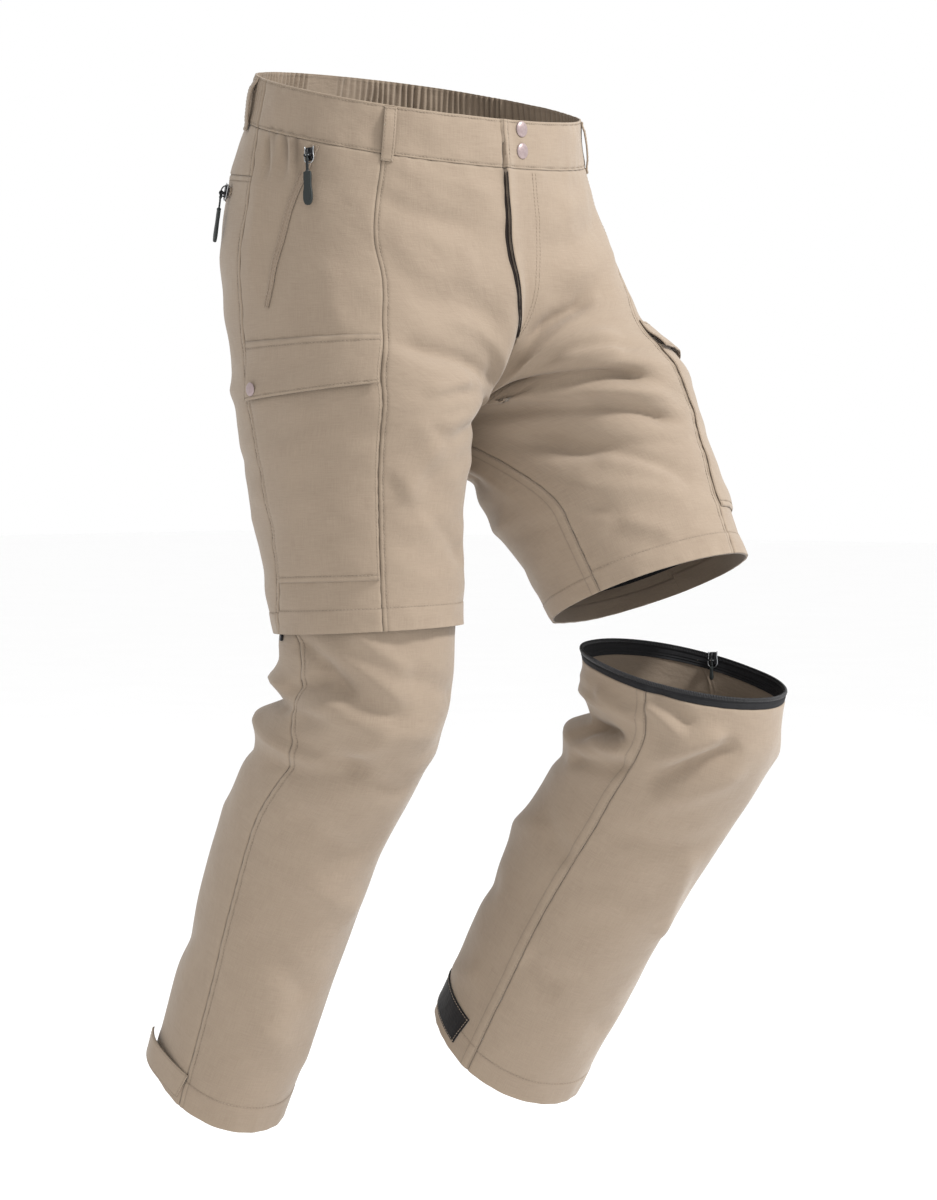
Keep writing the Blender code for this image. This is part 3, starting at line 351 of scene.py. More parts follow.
# Folds that show only here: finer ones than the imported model's, on every side. Which part,
# its two ends (round, along), how high it stands and its half width, in millimetres.
CREASES = (
    ("right", (0.547, 0.020), (0.527, 0.150), -2.4, 3.2),
    ("right", (0.522, 0.018), (0.508, 0.128), 1.8, 3.2),
    ("right", (0.503, 0.015), (0.485, 0.148), -2.6, 3.2),
    ("right", (0.482, 0.012), (0.468, 0.118), 1.8, 3.2),
    ("right", (0.463, 0.012), (0.445, 0.115), -2.4, 3.2),
    ("right", (0.445, 0.008), (0.430, 0.080), 1.6, 3.2),
    ("left", (0.540, 0.020), (0.522, 0.140), -2.4, 3.2),
    ("left", (0.508, 0.015), (0.492, 0.125), 1.8, 3.2),
    ("left", (0.485, 0.015), (0.470, 0.140), -2.4, 3.2),
    ("left", (0.455, 0.010), (0.442, 0.100), 1.6, 3.2),
    ("left", (0.007, 0.605), (0.152, 0.545), -2.5, 8),
    ("left", (0.035, 0.839), (0.12, 1.024), -4, 9),
    ("left", (0.12, 1.024), (0.2, 1.041), -3, 9),
    ("left", (0.03, 0.872), (0.115, 1.128), 2.6, 8),
    ("left", (0.115, 1.128), (0.205, 1.297), -2.6, 9),
    ("left", (0.045, 1.242), (0.088, 1.422), -2.5, 9),
    ("left", (0.077, 1.401), (0.188, 1.629), 2.2, 9),
    ("left", (0.0, 1.46), (0.075, 1.733), -2.4, 10),
    ("left", (0.05, 1.678), (0.145, 1.869), 2.0, 10),
    ("left", (0.115, 0.823), (0.198, 0.877), 2.4, 8),
    ("right", (0.268, 0.076), (0.175, 0.163), -1.8, 8),
    ("right", (0.245, 0.283), (0.118, 0.36), -1.8, 9),
    ("right", (0.33, 0.703), (0.165, 0.79), -2.0, 9),
    ("right", (0.15, 0.937), (0.268, 1.035), -3.0, 8),
    ("right", (0.283, 1.063), (0.233, 1.242), -2.2, 9),
    ("right", (0.345, 1.286), (0.273, 1.586), -1.8, 10),
    ("right", (0.26, 1.139), (0.32, 1.417), 2.0, 10),
    ("right", (0.203, 0.856), (0.288, 0.905), 2.2, 8),
    ("right_shin", (0.52, 0.048), (0.41, 0.147), -2.6, 8),
    ("right_shin", (0.5, 0.27), (0.33, 0.283), -2.6, 9),
    ("right_shin", (0.542, 0.223), (0.408, 0.168), 2.6, 9),
    ("right_shin", (0.448, 0.29), (0.315, 0.23), 2.0, 10),
    ("right_shin", (0.453, 0.065), (0.312, 0.163), 2.0, 10),
    ("right_shin", (0.547, 0.17), (0.45, 0.13), -3.0, 8),
    ("left_shin", (0.868, 0.182), (0.96, 0.168), -5, 6),
    ("left_shin", (0.895, 0.203), (0.98, 0.19), 3.5, 6),
    ("left_shin", (0.895, 0.258), (0.995, 0.217), -3.5, 8),
    ("left_shin", (0.045, 0.228), (0.088, 0.173), -2.6, 9),
    ("left_shin", (0.088, 0.173), (0.155, 0.12), -2.6, 9),
    ("left_shin", (0.015, 0.02), (0.075, 0.088), -2.2, 8),
    ("left_shin", (0.00, 0.065), (0.058, 0.118), 2.0, 8),
    ("left_shin", (0.905, 0.08), (0.99, 0.11), 2.4, 9),
    ("left_shin", (0.037, 0.177), (0.128, 0.1), 2.2, 10),
    ("left_shin", (0.90, 0.41), (0.99, 0.46), -1.6, 12),
    ("left_shin", (0.18, 0.338), (0.24, 0.565), 1.6, 14),
    ("left_shin", (0.01, 0.705), (0.092, 0.733), -1.6, 12),
    ("right", (0.255, 0.03), (0.07, 0.10), 1.1, 9),
    ("right", (0.268, 0.17), (0.10, 0.24), -1.6, 12),
    ("right", (0.240, 0.40), (0.09, 0.46), 1.3, 14),
    ("right", (0.250, 0.52), (0.06, 0.55), -1.2, 15),
    ("right", (0.190, 0.60), (0.03, 0.68), 1.4, 12),
    ("right", (0.160, 0.83), (0.03, 0.74), -2.0, 10),
    ("right", (0.200, 0.98), (0.03, 0.83), 1.9, 10),
    ("right", (0.250, 0.92), (0.05, 0.89), -1.6, 9),
    ("right", (0.230, 1.12), (0.04, 0.96), -1.7, 10),
    ("right", (0.180, 1.28), (0.05, 1.10), 1.5, 11),
    ("right", (0.290, 1.44), (0.17, 1.70), -1.6, 11),
    ("right", (0.180, 1.55), (0.10, 1.90), 1.2, 13),
    ("right", (0.440, 0.10), (0.48, 0.42), -1.3, 13),
    ("right", (0.540, 0.16), (0.53, 0.50), 1.2, 12),
    ("right", (0.380, 0.42), (0.40, 0.66), 1.0, 14),
    ("right", (0.630, 0.40), (0.90, 0.52), 1.6, 15),
    ("right", (0.660, 0.66), (0.93, 0.62), -1.8, 13),
    ("right", (0.620, 0.82), (0.90, 0.88), 1.8, 12),
    ("right", (0.680, 1.00), (0.95, 0.92), -1.8, 11),
    ("right", (0.650, 1.20), (0.90, 1.34), -1.6, 13),
    ("right", (0.600, 1.45), (0.85, 1.60), 1.3, 14),
    ("right", (0.880, 1.30), (0.94, 1.75), 1.4, 12),
    ("left", (0.200, 0.10), (0.09, 0.16), 1.3, 11),
    ("left", (0.230, 0.20), (0.08, 0.30), -1.7, 13),
    ("left", (0.250, 0.33), (0.06, 0.42), 1.8, 14),
    ("left", (0.200, 0.50), (0.05, 0.48), -1.6, 12),
    ("left", (0.230, 0.66), (0.05, 0.62), 1.5, 12),
    ("left", (0.240, 0.84), (0.06, 0.78), -1.5, 11),
    ("left", (0.245, 0.98), (0.05, 0.90), 1.5, 10),
    ("left", (0.230, 1.25), (0.04, 1.13), 1.6, 10),
    ("left", (0.210, 1.43), (0.04, 1.33), -1.7, 11),
    ("left", (0.180, 1.70), (0.03, 1.50), 1.5, 12),
    ("left", (0.240, 1.80), (0.10, 1.90), -1.3, 12),
    ("left", (0.440, 0.12), (0.46, 0.40), -1.3, 13),
    ("left", (0.400, 0.46), (0.52, 0.60), 1.3, 13),
    ("left", (0.620, 0.30), (0.90, 0.42), 1.7, 15),
    ("left", (0.650, 0.62), (0.92, 0.55), -1.8, 13),
    ("left", (0.600, 0.80), (0.90, 0.84), 1.7, 12),
    ("left", (0.650, 1.35), (0.92, 1.50), 1.5, 13),
    ("left", (0.620, 1.60), (0.86, 1.72), -1.4, 13),
    ("right_shin", (0.410, 0.030), (0.300, 0.110), 1.8, 10),
    ("right_shin", (0.480, 0.135), (0.300, 0.200), -2.2, 10),
    ("right_shin", (0.450, 0.200), (0.200, 0.230), 1.9, 11),
    ("right_shin", (0.420, 0.255), (0.230, 0.330), -2.0, 10),
    ("right_shin", (0.300, 0.120), (0.140, 0.170), -1.6, 11),
    ("right_shin", (0.240, 0.280), (0.080, 0.260), 1.4, 12),
    ("right_shin", (0.420, 0.400), (0.260, 0.470), -1.6, 13),
    ("right_shin", (0.380, 0.520), (0.180, 0.600), 1.5, 16),
    ("right_shin", (0.420, 0.650), (0.260, 0.760), -1.4, 15),
    ("right_shin", (0.350, 0.820), (0.160, 0.900), 1.3, 15),
    ("right_shin", (0.620, 0.100), (0.850, 0.080), -1.8, 11),
    ("right_shin", (0.600, 0.350), (0.850, 0.380), -1.8, 13),
    ("right_shin", (0.640, 0.500), (0.900, 0.620), 1.5, 16),
    ("right_shin", (0.580, 0.740), (0.800, 0.860), -1.4, 15),
    ("left_shin", (0.900, 0.070), (0.740, 0.090), 1.4, 10),
    ("left_shin", (0.940, 0.160), (0.860, 0.230), -2.1, 9),
    ("left_shin", (0.880, 0.280), (0.700, 0.340), -1.7, 12),
    ("left_shin", (0.930, 0.420), (0.780, 0.540), 1.5, 15),
    ("left_shin", (0.880, 0.640), (0.700, 0.760), -1.4, 15),
    ("left_shin", (0.940, 0.820), (0.820, 0.900), 1.3, 14),
    ("left_shin", (0.060, 0.260), (0.190, 0.180), 1.6, 11),
    ("left_shin", (0.040, 0.340), (0.210, 0.330), -1.4, 12),
    ("left_shin", (0.080, 0.480), (0.260, 0.580), 1.4, 15),
    ("left_shin", (0.060, 0.700), (0.240, 0.820), -1.3, 15),
    ("left_shin", (0.300, 0.160), (0.520, 0.200), 1.6, 12),
    ("left_shin", (0.320, 0.300), (0.560, 0.260), -1.7, 12),
    ("left_shin", (0.400, 0.560), (0.600, 0.700), 1.4, 15),
)

CREASE_GAIN = {"right": 1.5, "left": 1.5, "right_shin": 2.1, "left_shin": 2.4}
# Each fold also has a sharper line along it, as a share of its height and width.
SHARP_SHARE = 0.28
SHARP_WIDTH = 0.36

# Broad unevenness of worn cloth: waves across and down, with their height in millimetres.
RIPPLES = (
    (3.0, 1.3, 0.4, 0.55),
    (5.0, -2.2, 1.9, 0.40),
    (2.0, 4.1, 3.1, 0.45),
    (8.0, 3.3, 0.9, 0.22),
    (6.0, -7.1, 2.2, 0.20),
    (11.0, 5.3, 5.0, 0.14),
)


def ripples(u, v):
    height = np.zeros(u.shape)
    for across, down, phase, deep in RIPPLES:
        height += deep * np.sin(2 * pi * across * u + 2 * pi * down * v + phase)
    return MM * height


def creasing(part, u, v):
    """How far the finer folds stand out from the cloth, in metres."""
    sharp = SHARP_SHARE * fold_height(FOLDS + CREASES, part, u, v, SHARP_WIDTH)
    return CREASE_GAIN[part] * fold_height(CREASES, part, u, v) + sharp + ripples(u, v)


def fold_height(table, part, u, v, narrow=1.0):
    """How far a table's folds stand out from the cloth, in metres."""
    height = np.zeros(u.shape)
    for place, start, end, rise, half_width in table:
        if place != part:
            continue
        across = np.array([ROUND_MM[part], ALONG_MM[part]])
        a = np.array(start) * across
        run = np.array(end) * across - a
        length = np.hypot(*run)
        du = u * across[0] - a[0]
        dv = v * across[1] - a[1]
        share = (du * run[0] + dv * run[1]) / length**2
        off = (du * run[1] - dv * run[0]) / length
        ends = smooth(share * 3 + 0.5) * smooth((1 - share) * 3 + 0.5)
        height += MM * rise * ends * np.exp(-((off / half_width / narrow) ** 2))
    return height


def folding(part, u, v):
    """Every fold of the cloth, the main ones and the finer ones."""
    return fold_height(FOLDS, part, u, v) + creasing(part, u, v)


def trunk_fold(s, v):
    s = (s + 1) % 2 - 1
    u = np.abs(s)
    rise = np.where(s < 0, folding("right", u, v), folding("left", u, v))
    return rise * smooth(np.minimum(u, 1 - u) / FOLD_FADE) + fly_step(s, v) + gathers(s, v)


def shin_fold(side):
    return lambda s, v: folding(side + "_shin", np.abs(s), v)


def trunk(s, v):
    """The smooth cloth from the waistband to the shorts' hem, on both sides."""
    s = (s + 1) % 2 - 1
    right = side_trunk("right", -1, np.minimum(s, 0), v) + swelling("right", np.abs(s), v)
    left = side_trunk("left", 1, np.maximum(s, 0), v) + swelling("left", np.abs(s), v)
    return np.where((s < 0)[..., None], right, left)


def own_trunk(side, s, v):
    """The same cloth for one side's panels, which below the fly never turn onto the other."""
    own = side_trunk(side, SIGN[side], s, v) + swelling(side, np.abs(s), v)
    return np.where((v < FLY_END)[..., None], trunk(s, v), own)


def shin(side, s, v):
    """The smooth cloth of a lower leg, from the leg zip to the hem."""
    return leg_point(SHIN_RINGS[side], SIGN[side], s, v)


NORMAL_STEP = 2e-3
NEAR = 1e-4


def normals(surface, s, v):
    """Unit directions out of the cloth."""
    small = NORMAL_STEP
    around = surface(s + small, v) - surface(s - small, v)
    down = surface(s, v + small) - surface(s, v - small)
    out = np.cross(down, around)
    return out / np.linalg.norm(out, axis=-1, keepdims=True)


class Cloth:
    """A stretch of cloth that pieces are cut from: its smooth surface with its folds."""

    def __init__(self, surface, fold, one_side=0):
        self.surface = surface
        self.fold = fold
        self.one_side = one_side

    def place(self, s, v, lift):
        """Points of the cloth moved out by lift, in millimetres."""
        point = self.surface(s, v)
        out = normals(self.surface, s, v)
        if self.one_side:
            u = np.abs(s)
            middle = (np.minimum(u, 1 - u) < NEAR) & (v <= CROTCH_ALONG)
            out[..., 0] = np.where(middle, 0, out[..., 0])
            crotch = middle & (np.abs(v - CROTCH_ALONG) < NEAR)
            out = np.where(crotch[..., None], np.array((0.0, 0.0, -1.0)), out)
            out /= np.linalg.norm(out, axis=-1, keepdims=True)
        point = point + out * (self.fold(s, v) + MM * lift)[..., None]
        if self.one_side:
            own = self.one_side * np.maximum(self.one_side * point[..., 0], MM * SEAM_GAP / 2)
            point[..., 0] = np.where(v > FLY_END, own, point[..., 0])
        return point

    def frame(self, s, v, lift=0.0):
        """A place on the cloth: its point, the way out of it and the way down it."""
        s = np.array([float(s)])
        v = np.array([float(v)])
        point = self.place(s, v, np.zeros(1) + lift)[0]
        out = normals(self.surface, s, v)[0]
        down = self.surface(s, v + 1e-3)[0] - self.surface(s, v - 1e-3)[0]
        down = down - out * (down @ out)
        return Vector(point), Vector(out), Vector(down).normalized()


# The left front's edge stands over the right front along the fly.
FLY_STEP = 1.4
FLY_STEP_WIDE = 0.03
FLY_GAPE = 2.6


def fly_step(s, v):
    edge = -read(FLY_EDGE, ROUND, v)
    over = np.clip((s - edge) / FLY_STEP_WIDE, 0, 1)
    lift = MM * FLY_STEP * (1 - smooth(over))
    gape = np.sin(pi * np.clip((v + 0.25) / (FLY_END + 0.25), 0, 1)) ** 0.7
    lift = lift + MM * FLY_GAPE * gape * np.exp(-((over / 0.5) ** 2))
    return lift * (s >= edge - 1e-6) * (v < FLY_END)


# Gathers: small ones in each side panel under the waistband.
SIDE_GATHERS = 4
GATHER_DEEP = 2.6
GATHER_SPAN = (0.508, 0.86)
GATHER_ENDS = 0.17


def gathers(s, v):
    u = np.abs((s + 1) % 2 - 1)
    front = read(FRONT_SEAM["right"], ROUND, v)
    back = read(BACK_SEAM["right"], ROUND, v)
    share = (u - front) / (back - front)
    low, high = GATHER_SPAN
    t = (share - low) / (high - low)
    inside = (t > 0) & (t < 1)
    wave = np.sin(pi * SIDE_GATHERS * np.clip(t, 0, 1)) ** 2
    fade = (1 - smooth(v / GATHER_ENDS)) * (v > -0.01)
    return MM * GATHER_DEEP * wave * fade * inside


def pull_in(points, axis, gap):
    """Move a grid's first and last rows in along one axis by a gap, in millimetres."""
    grid = np.moveaxis(points, axis, 0)
    for edge, beside in ((0, 1), (-1, -2)):
        way = grid[beside] - grid[edge]
        grid[edge] += way / np.linalg.norm(way, axis=-1, keepdims=True) * gap * MM




YOKE_ROW = 0.165
BAND_TOP = -0.18
BAND_GATHERS = 62
BAND_GATHER_DEEP = 2.6
SHIN_STARTS = {"right": 0.0, "left": 0.03}
LOOP_ENDS = (-0.172, 0.026)
PATCH_EDGES = (0.012, 0.988)
POCKET_SPAN = (0.83, 1.775)
FLAP_SPAN = ((0, 0.665), (0.3333, 0.74), (0.6667, 0.82), (1, 0.865))
FLAP_RISE = ((0, -1.9), (0.3333, -0.9), (0.6667, 2.2), (1, 3.4))


TRUNK = Cloth(trunk, trunk_fold)
SIDE_TRUNK = {
    side: Cloth(lambda s, v, side=side: own_trunk(side, s, v), trunk_fold, SIGN[side]) for side in SIGN
}
SHIN = {side: Cloth(lambda s, v, side=side: shin(side, s, v), shin_fold(side)) for side in SIGN}


# Materials.
class Nodes:
    """A short way to build a material's node tree."""

    def __init__(self, name):
        self.material = bpy.data.materials.new(name)
        self.material.use_nodes = True
        self.tree = self.material.node_tree
        self.shader = self.tree.nodes["Principled BSDF"]

    def add(self, kind, settings=(), **inputs):
        node = self.tree.nodes.new("ShaderNode" + kind)
        for key, value in dict(settings).items():
            setattr(node, key, value)
        for key, value in inputs.items():
            self.plug(node.inputs[key.replace("_", " ")], value)
        return node

    def plug(self, socket, value):
        if isinstance(value, bpy.types.NodeSocket):
            self.tree.links.new(value, socket)
        else:
            socket.default_value = value

    def math(self, operation, first, second=0.0):
        node = self.tree.nodes.new("ShaderNodeMath")
        node.operation = operation
        self.plug(node.inputs[0], first)
        self.plug(node.inputs[1], second)
        return node.outputs[0]

    def mix(self, share, first, second):
        node = self.tree.nodes.new("ShaderNodeMix")
        node.data_type = "RGBA"
        self.plug(node.inputs["Factor"], share)
        self.plug(node.inputs["A"], first)
        self.plug(node.inputs["B"], second)
        return node.outputs["Result"]

    def ramp(self, value, low, high):
        node = self.tree.nodes.new("ShaderNodeMapRange")
        self.plug(node.inputs["Value"], value)
        node.inputs["From Min"].default_value = low
        node.inputs["From Max"].default_value = high
        return node.outputs["Result"]

    def noise(self, where, scale, detail=3.0, rough=0.55):
        node = self.add("TexNoise", Vector=where, Scale=scale, Detail=detail, Roughness=rough)
        return node.outputs["Fac"]

    def stretched(self, where, sizes):
        node = self.add("Mapping", Vector=where, Scale=sizes)
        return node.outputs["Vector"]


def rgb(red, green, blue):
    """A colour given as eye values from 0 to 255, as a shader's linear one."""
    eye = np.array((red, green, blue)) / 255
    linear = np.where(eye <= 0.04045, eye / 12.92, ((eye + 0.055) / 1.055) ** 2.4)
    return (*linear.tolist(), 1.0)


def woven(name, colour, dark, roughness=0.82, thread=0.0011, sheen=0.18):
    """Woven cloth: threads both ways, uneven yarn, faint mottling, seams paled by wear and painted highlight, and
    painted shade.
    """
    n = Nodes(name)
    where = n.add("UVMap", {"uv_map": "cloth"}).outputs["UV"]
    turns = 1.0 / thread
    warp = n.add("TexWave", {"bands_direction": "X"}, Vector=where, Scale=turns / 6.3, Distortion=0.6)
    weft = n.add("TexWave", {"bands_direction": "Y"}, Vector=where, Scale=turns / 6.3, Distortion=0.6)
    weave = n.math("MULTIPLY", warp.outputs["Fac"], weft.outputs["Fac"])
    yarn_down = n.noise(n.stretched(where, (1500, 60, 1)), 1.0, 2.0)
    yarn_across = n.noise(n.stretched(where, (60, 1500, 1)), 1.0, 2.0)
    yarn = n.math("ADD", yarn_down, yarn_across)
    mottle = n.noise(where, 26.0, 4.0)
    broad = n.noise(where, 7.0, 2.0)
    tone = n.mix(n.ramp(yarn, 0.75, 1.25), dark, colour)
    pale = tuple(min(1.0, channel * 1.10) for channel in colour[:3]) + (1.0,)
    tone = n.mix(n.math("MULTIPLY", n.ramp(mottle, 0.35, 0.7), 0.30), tone, pale)
    tone = n.mix(n.math("MULTIPLY", n.ramp(broad, 0.30, 0.75), 0.16), tone, dark)
    # Paler seam edges: partly wear, partly painted highlight where light catches the edge.
    wear_and_highlight = n.add("Attribute", {"attribute_name": "wear_and_highlight"}).outputs["Fac"]
    tone = n.mix(n.math("MULTIPLY", wear_and_highlight, 0.22), tone, pale)
    # Painted shade: the cloth darkens toward a deep brown in stitching and seam dents, under overlapping edges,
    # between gathers and on inner sides.
    shade = n.add("Attribute", {"attribute_name": "painted_shade"}).outputs["Fac"]
    tone = n.mix(n.math("MULTIPLY", shade, 0.55), tone, tuple(0.45 * c for c in dark[:3]) + (1.0,))
    n.plug(n.shader.inputs["Base Color"], tone)
    n.shader.inputs["Roughness"].default_value = roughness
    n.shader.inputs["Sheen Weight"].default_value = sheen
    n.shader.inputs["Sheen Roughness"].default_value = 0.5
    n.shader.inputs["Specular IOR Level"].default_value = 0.25
    crease = n.noise(n.stretched(where, (28, 44, 1)), 1.0, 5.0, 0.58)
    fine = n.add("Bump", Strength=0.25, Distance=0.0002, Height=weave)
    grain = n.add("Bump", Strength=0.20, Distance=0.0002, Height=yarn, Normal=fine.outputs["Normal"])
    soft = n.add("Bump", Strength=0.40, Distance=0.0035, Height=crease, Normal=grain.outputs["Normal"])
    n.plug(n.shader.inputs["Normal"], soft.outputs["Normal"])
    return n.material


def hard(name, colour, roughness, metallic, speck, bump=0.00005):
    """Moulded or metal: a fine speckle in colour, gloss and surface."""
    n = Nodes(name)
    where = n.add("TexCoord").outputs["Object"]
    grain = n.noise(where, 2600.0, 2.0)
    wear = n.noise(where, 420.0, 3.0)
    n.plug(n.shader.inputs["Base Color"], n.mix(n.ramp(wear, 0.35, 0.75), colour, speck))
    low = n.math("MULTIPLY", n.ramp(wear, 0.3, 0.8), 0.18)
    n.plug(n.shader.inputs["Roughness"], n.math("ADD", low, roughness - 0.09))
    n.shader.inputs["Metallic"].default_value = metallic
    lift = n.add("Bump", Strength=0.5, Distance=bump, Height=grain)
    n.plug(n.shader.inputs["Normal"], lift.outputs["Normal"])
    return n.material


KHAKI = woven("khaki_weave", rgb(143, 128, 111), rgb(134, 118, 102), thread=0.0007)
KHAKI_TRIM = woven("khaki_trim", rgb(138, 122, 106), rgb(129, 113, 97), thread=0.0009)
# Painted shadow: near-black brown for the strip in the fly's slit.
FLY_SHADOW_CLOTH = woven("fly_facing", rgb(30, 21, 16), rgb(18, 12, 9), sheen=0.0)
THREAD = hard("khaki_thread", rgb(136, 121, 105), 0.8, 0.0, rgb(152, 137, 120))
TAPE = woven("black_tape_weave", rgb(30, 30, 32), rgb(18, 18, 20), 0.8, 0.0009, 0.0)
PILE = woven("black_loop_pile", rgb(22, 18, 19), rgb(11, 10, 11), 0.95, 0.0016, 0.12)
COIL = hard("black_coil", rgb(24, 24, 26), 0.45, 0.0, rgb(40, 39, 42))
SNAP = hard("snap_enamel", rgb(150, 133, 133), 0.42, 0.55, rgb(164, 148, 147))
SLIDER = hard("slider_black", rgb(22, 22, 24), 0.38, 0.6, rgb(40, 40, 43))
BRIGHT = hard("bare_metal", rgb(176, 178, 180), 0.28, 1.0, rgb(150, 152, 155))
GRIP = hard("dark_moulded_grip", rgb(13, 21, 20), 0.6, 0.0, rgb(20, 30, 29))
CORD = hard("cord_black", rgb(20, 24, 24), 0.85, 0.0, rgb(34, 38, 38), 0.0002)


# Mesh making.
def new_piece(name, points, faces, paint, body="garment", nodes=()):
    """A mesh piece that rides on a body and stands for its nodes."""
    mesh = bpy.data.meshes.new(name)
    mesh.from_pydata(points, [], faces)
    mesh.materials.append(paint)
    mesh.shade_smooth()
    piece = bpy.data.objects.new(name, mesh)
    bpy.context.scene.collection.objects.link(piece)
    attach(piece, body)
    if nodes:
        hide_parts(*nodes)
    return piece


def spaced(length, dense, step):
    """Places from 0 to length, in millimetres: the dense ones at both ends, even between."""
    start = np.array(dense[0], float)
    end = length - np.array(dense[1], float)[::-1]
    cells = max(2, int(round((end[0] - start[-1]) / step)))
    return start, np.linspace(0, 1, cells + 1)[1:-1], end


# Edges of a piece: dense places in from the edge, in millimetres, and what the cloth does.
PLAIN = (0, 1.5)
EDGE_PLACES = {
    "plain": (0, 1.2, 3.0),
    "under": (0, 1.0, 2.0, 3.2, 4.6, 6.4, 8.5),
    "strip": (0, 0.35, 0.9, 1.5, 2.1, 2.8),
    "bare": (0, 0.35, 0.9, 1.8),
    "seam": (0, 0.7, 1.5, 2.6, 4.0),
    "stitched": (0, 0.7, 1.5, 2.8, 4.0, 4.8, 5.6, 7.0, 9.0),
    "felled": (0, 0.7, 1.4, 2.1, 3.2, 5.0, 7.0, 8.2, 9.0, 9.8, 11.5),
    "hem": (0, 0.8, 2.0, 5.0, 9.0, 13.0, 17.0, 20.0, 22.2, 23.0, 23.8, 26.0),
    "folded": (0, 0.6, 1.6, 2.4, 3.0, 4.5),
}
STITCH_LINES = {
    "plain": (),
    "under": (),
    "strip": (1.5,),
    "bare": (),
    "seam": (),
    "stitched": (4.8,),
    "felled": (1.4, 9.0),
    "hem": (23.0,),
    "folded": (2.4,),
}
HEM_THICK = 0.9
STEP = 4.2


def dip(distance, at, wide):
    return np.exp(-(((distance - at) / wide) ** 2))


def edge_relief(kind, distance, along):
    """How the cloth stands, in millimetres, at a distance in from an edge of a kind, and
    along it; and how much painted shade darkens it there, in the seams' and stitching's dents and under an
    overlapping edge."""
    pucker = np.sin(along / 3.1 + 1.7 * np.sin(along / 17.0)) * np.exp(-distance / 9.0)
    relief = np.zeros(distance.shape)
    painted_shade = np.zeros(distance.shape)
    if kind == "plain":
        return relief - 0.25 * np.exp(-((distance / 1.0) ** 2)), painted_shade
    if kind == "under":
        return relief - 1.3 * np.exp(-((distance / 4.0) ** 2)), 1.8 * np.exp(-((distance / 3.6) ** 2))
    if kind in ("strip", "bare"):
        relief = relief - 0.45 * np.exp(-((distance / 0.45) ** 2))
        for line in STITCH_LINES[kind]:
            relief = relief - 0.25 * dip(distance, line, 0.6)
            painted_shade = painted_shade + 0.6 * dip(distance, line, 0.45)
        return relief, painted_shade
    if kind == "hem":
        relief = relief + 0.55 * (1 - smooth((distance - 22.6) / 1.6))
        relief = relief + 0.35 * np.sin(along / 5.3 + 2.0 * np.sin(along / 23.0)) * dip(distance, 12.0, 9.0)
    if kind == "felled":
        relief = relief + 0.6 * (1 - smooth((distance - 9.4) / 1.4))
    if kind in ("seam", "stitched", "felled"):
        relief = relief - 0.9 * np.exp(-((distance / 1.0) ** 2))
        painted_shade = painted_shade + 0.6 * np.exp(-((distance / 0.8) ** 2))
    if kind == "folded":
        relief = relief - 0.5 * np.exp(-((distance / 0.7) ** 2))
    for line in STITCH_LINES[kind]:
        relief = relief - 0.40 * dip(distance, line, 0.8)
        painted_shade = painted_shade + 0.75 * dip(distance, line, 0.55)
    return relief + 0.30 * pucker, painted_shade


def even(share):
    """Leave a share across a piece as it is."""
    return share


# How much painted shade darkens the cloth's inner side where it faces only other cloth.
INNER_SHADE = 0.75
# The inner sides of neighbours meet, so that no light shows through a seam, in millimetres.
INNER_LAP = 0.03


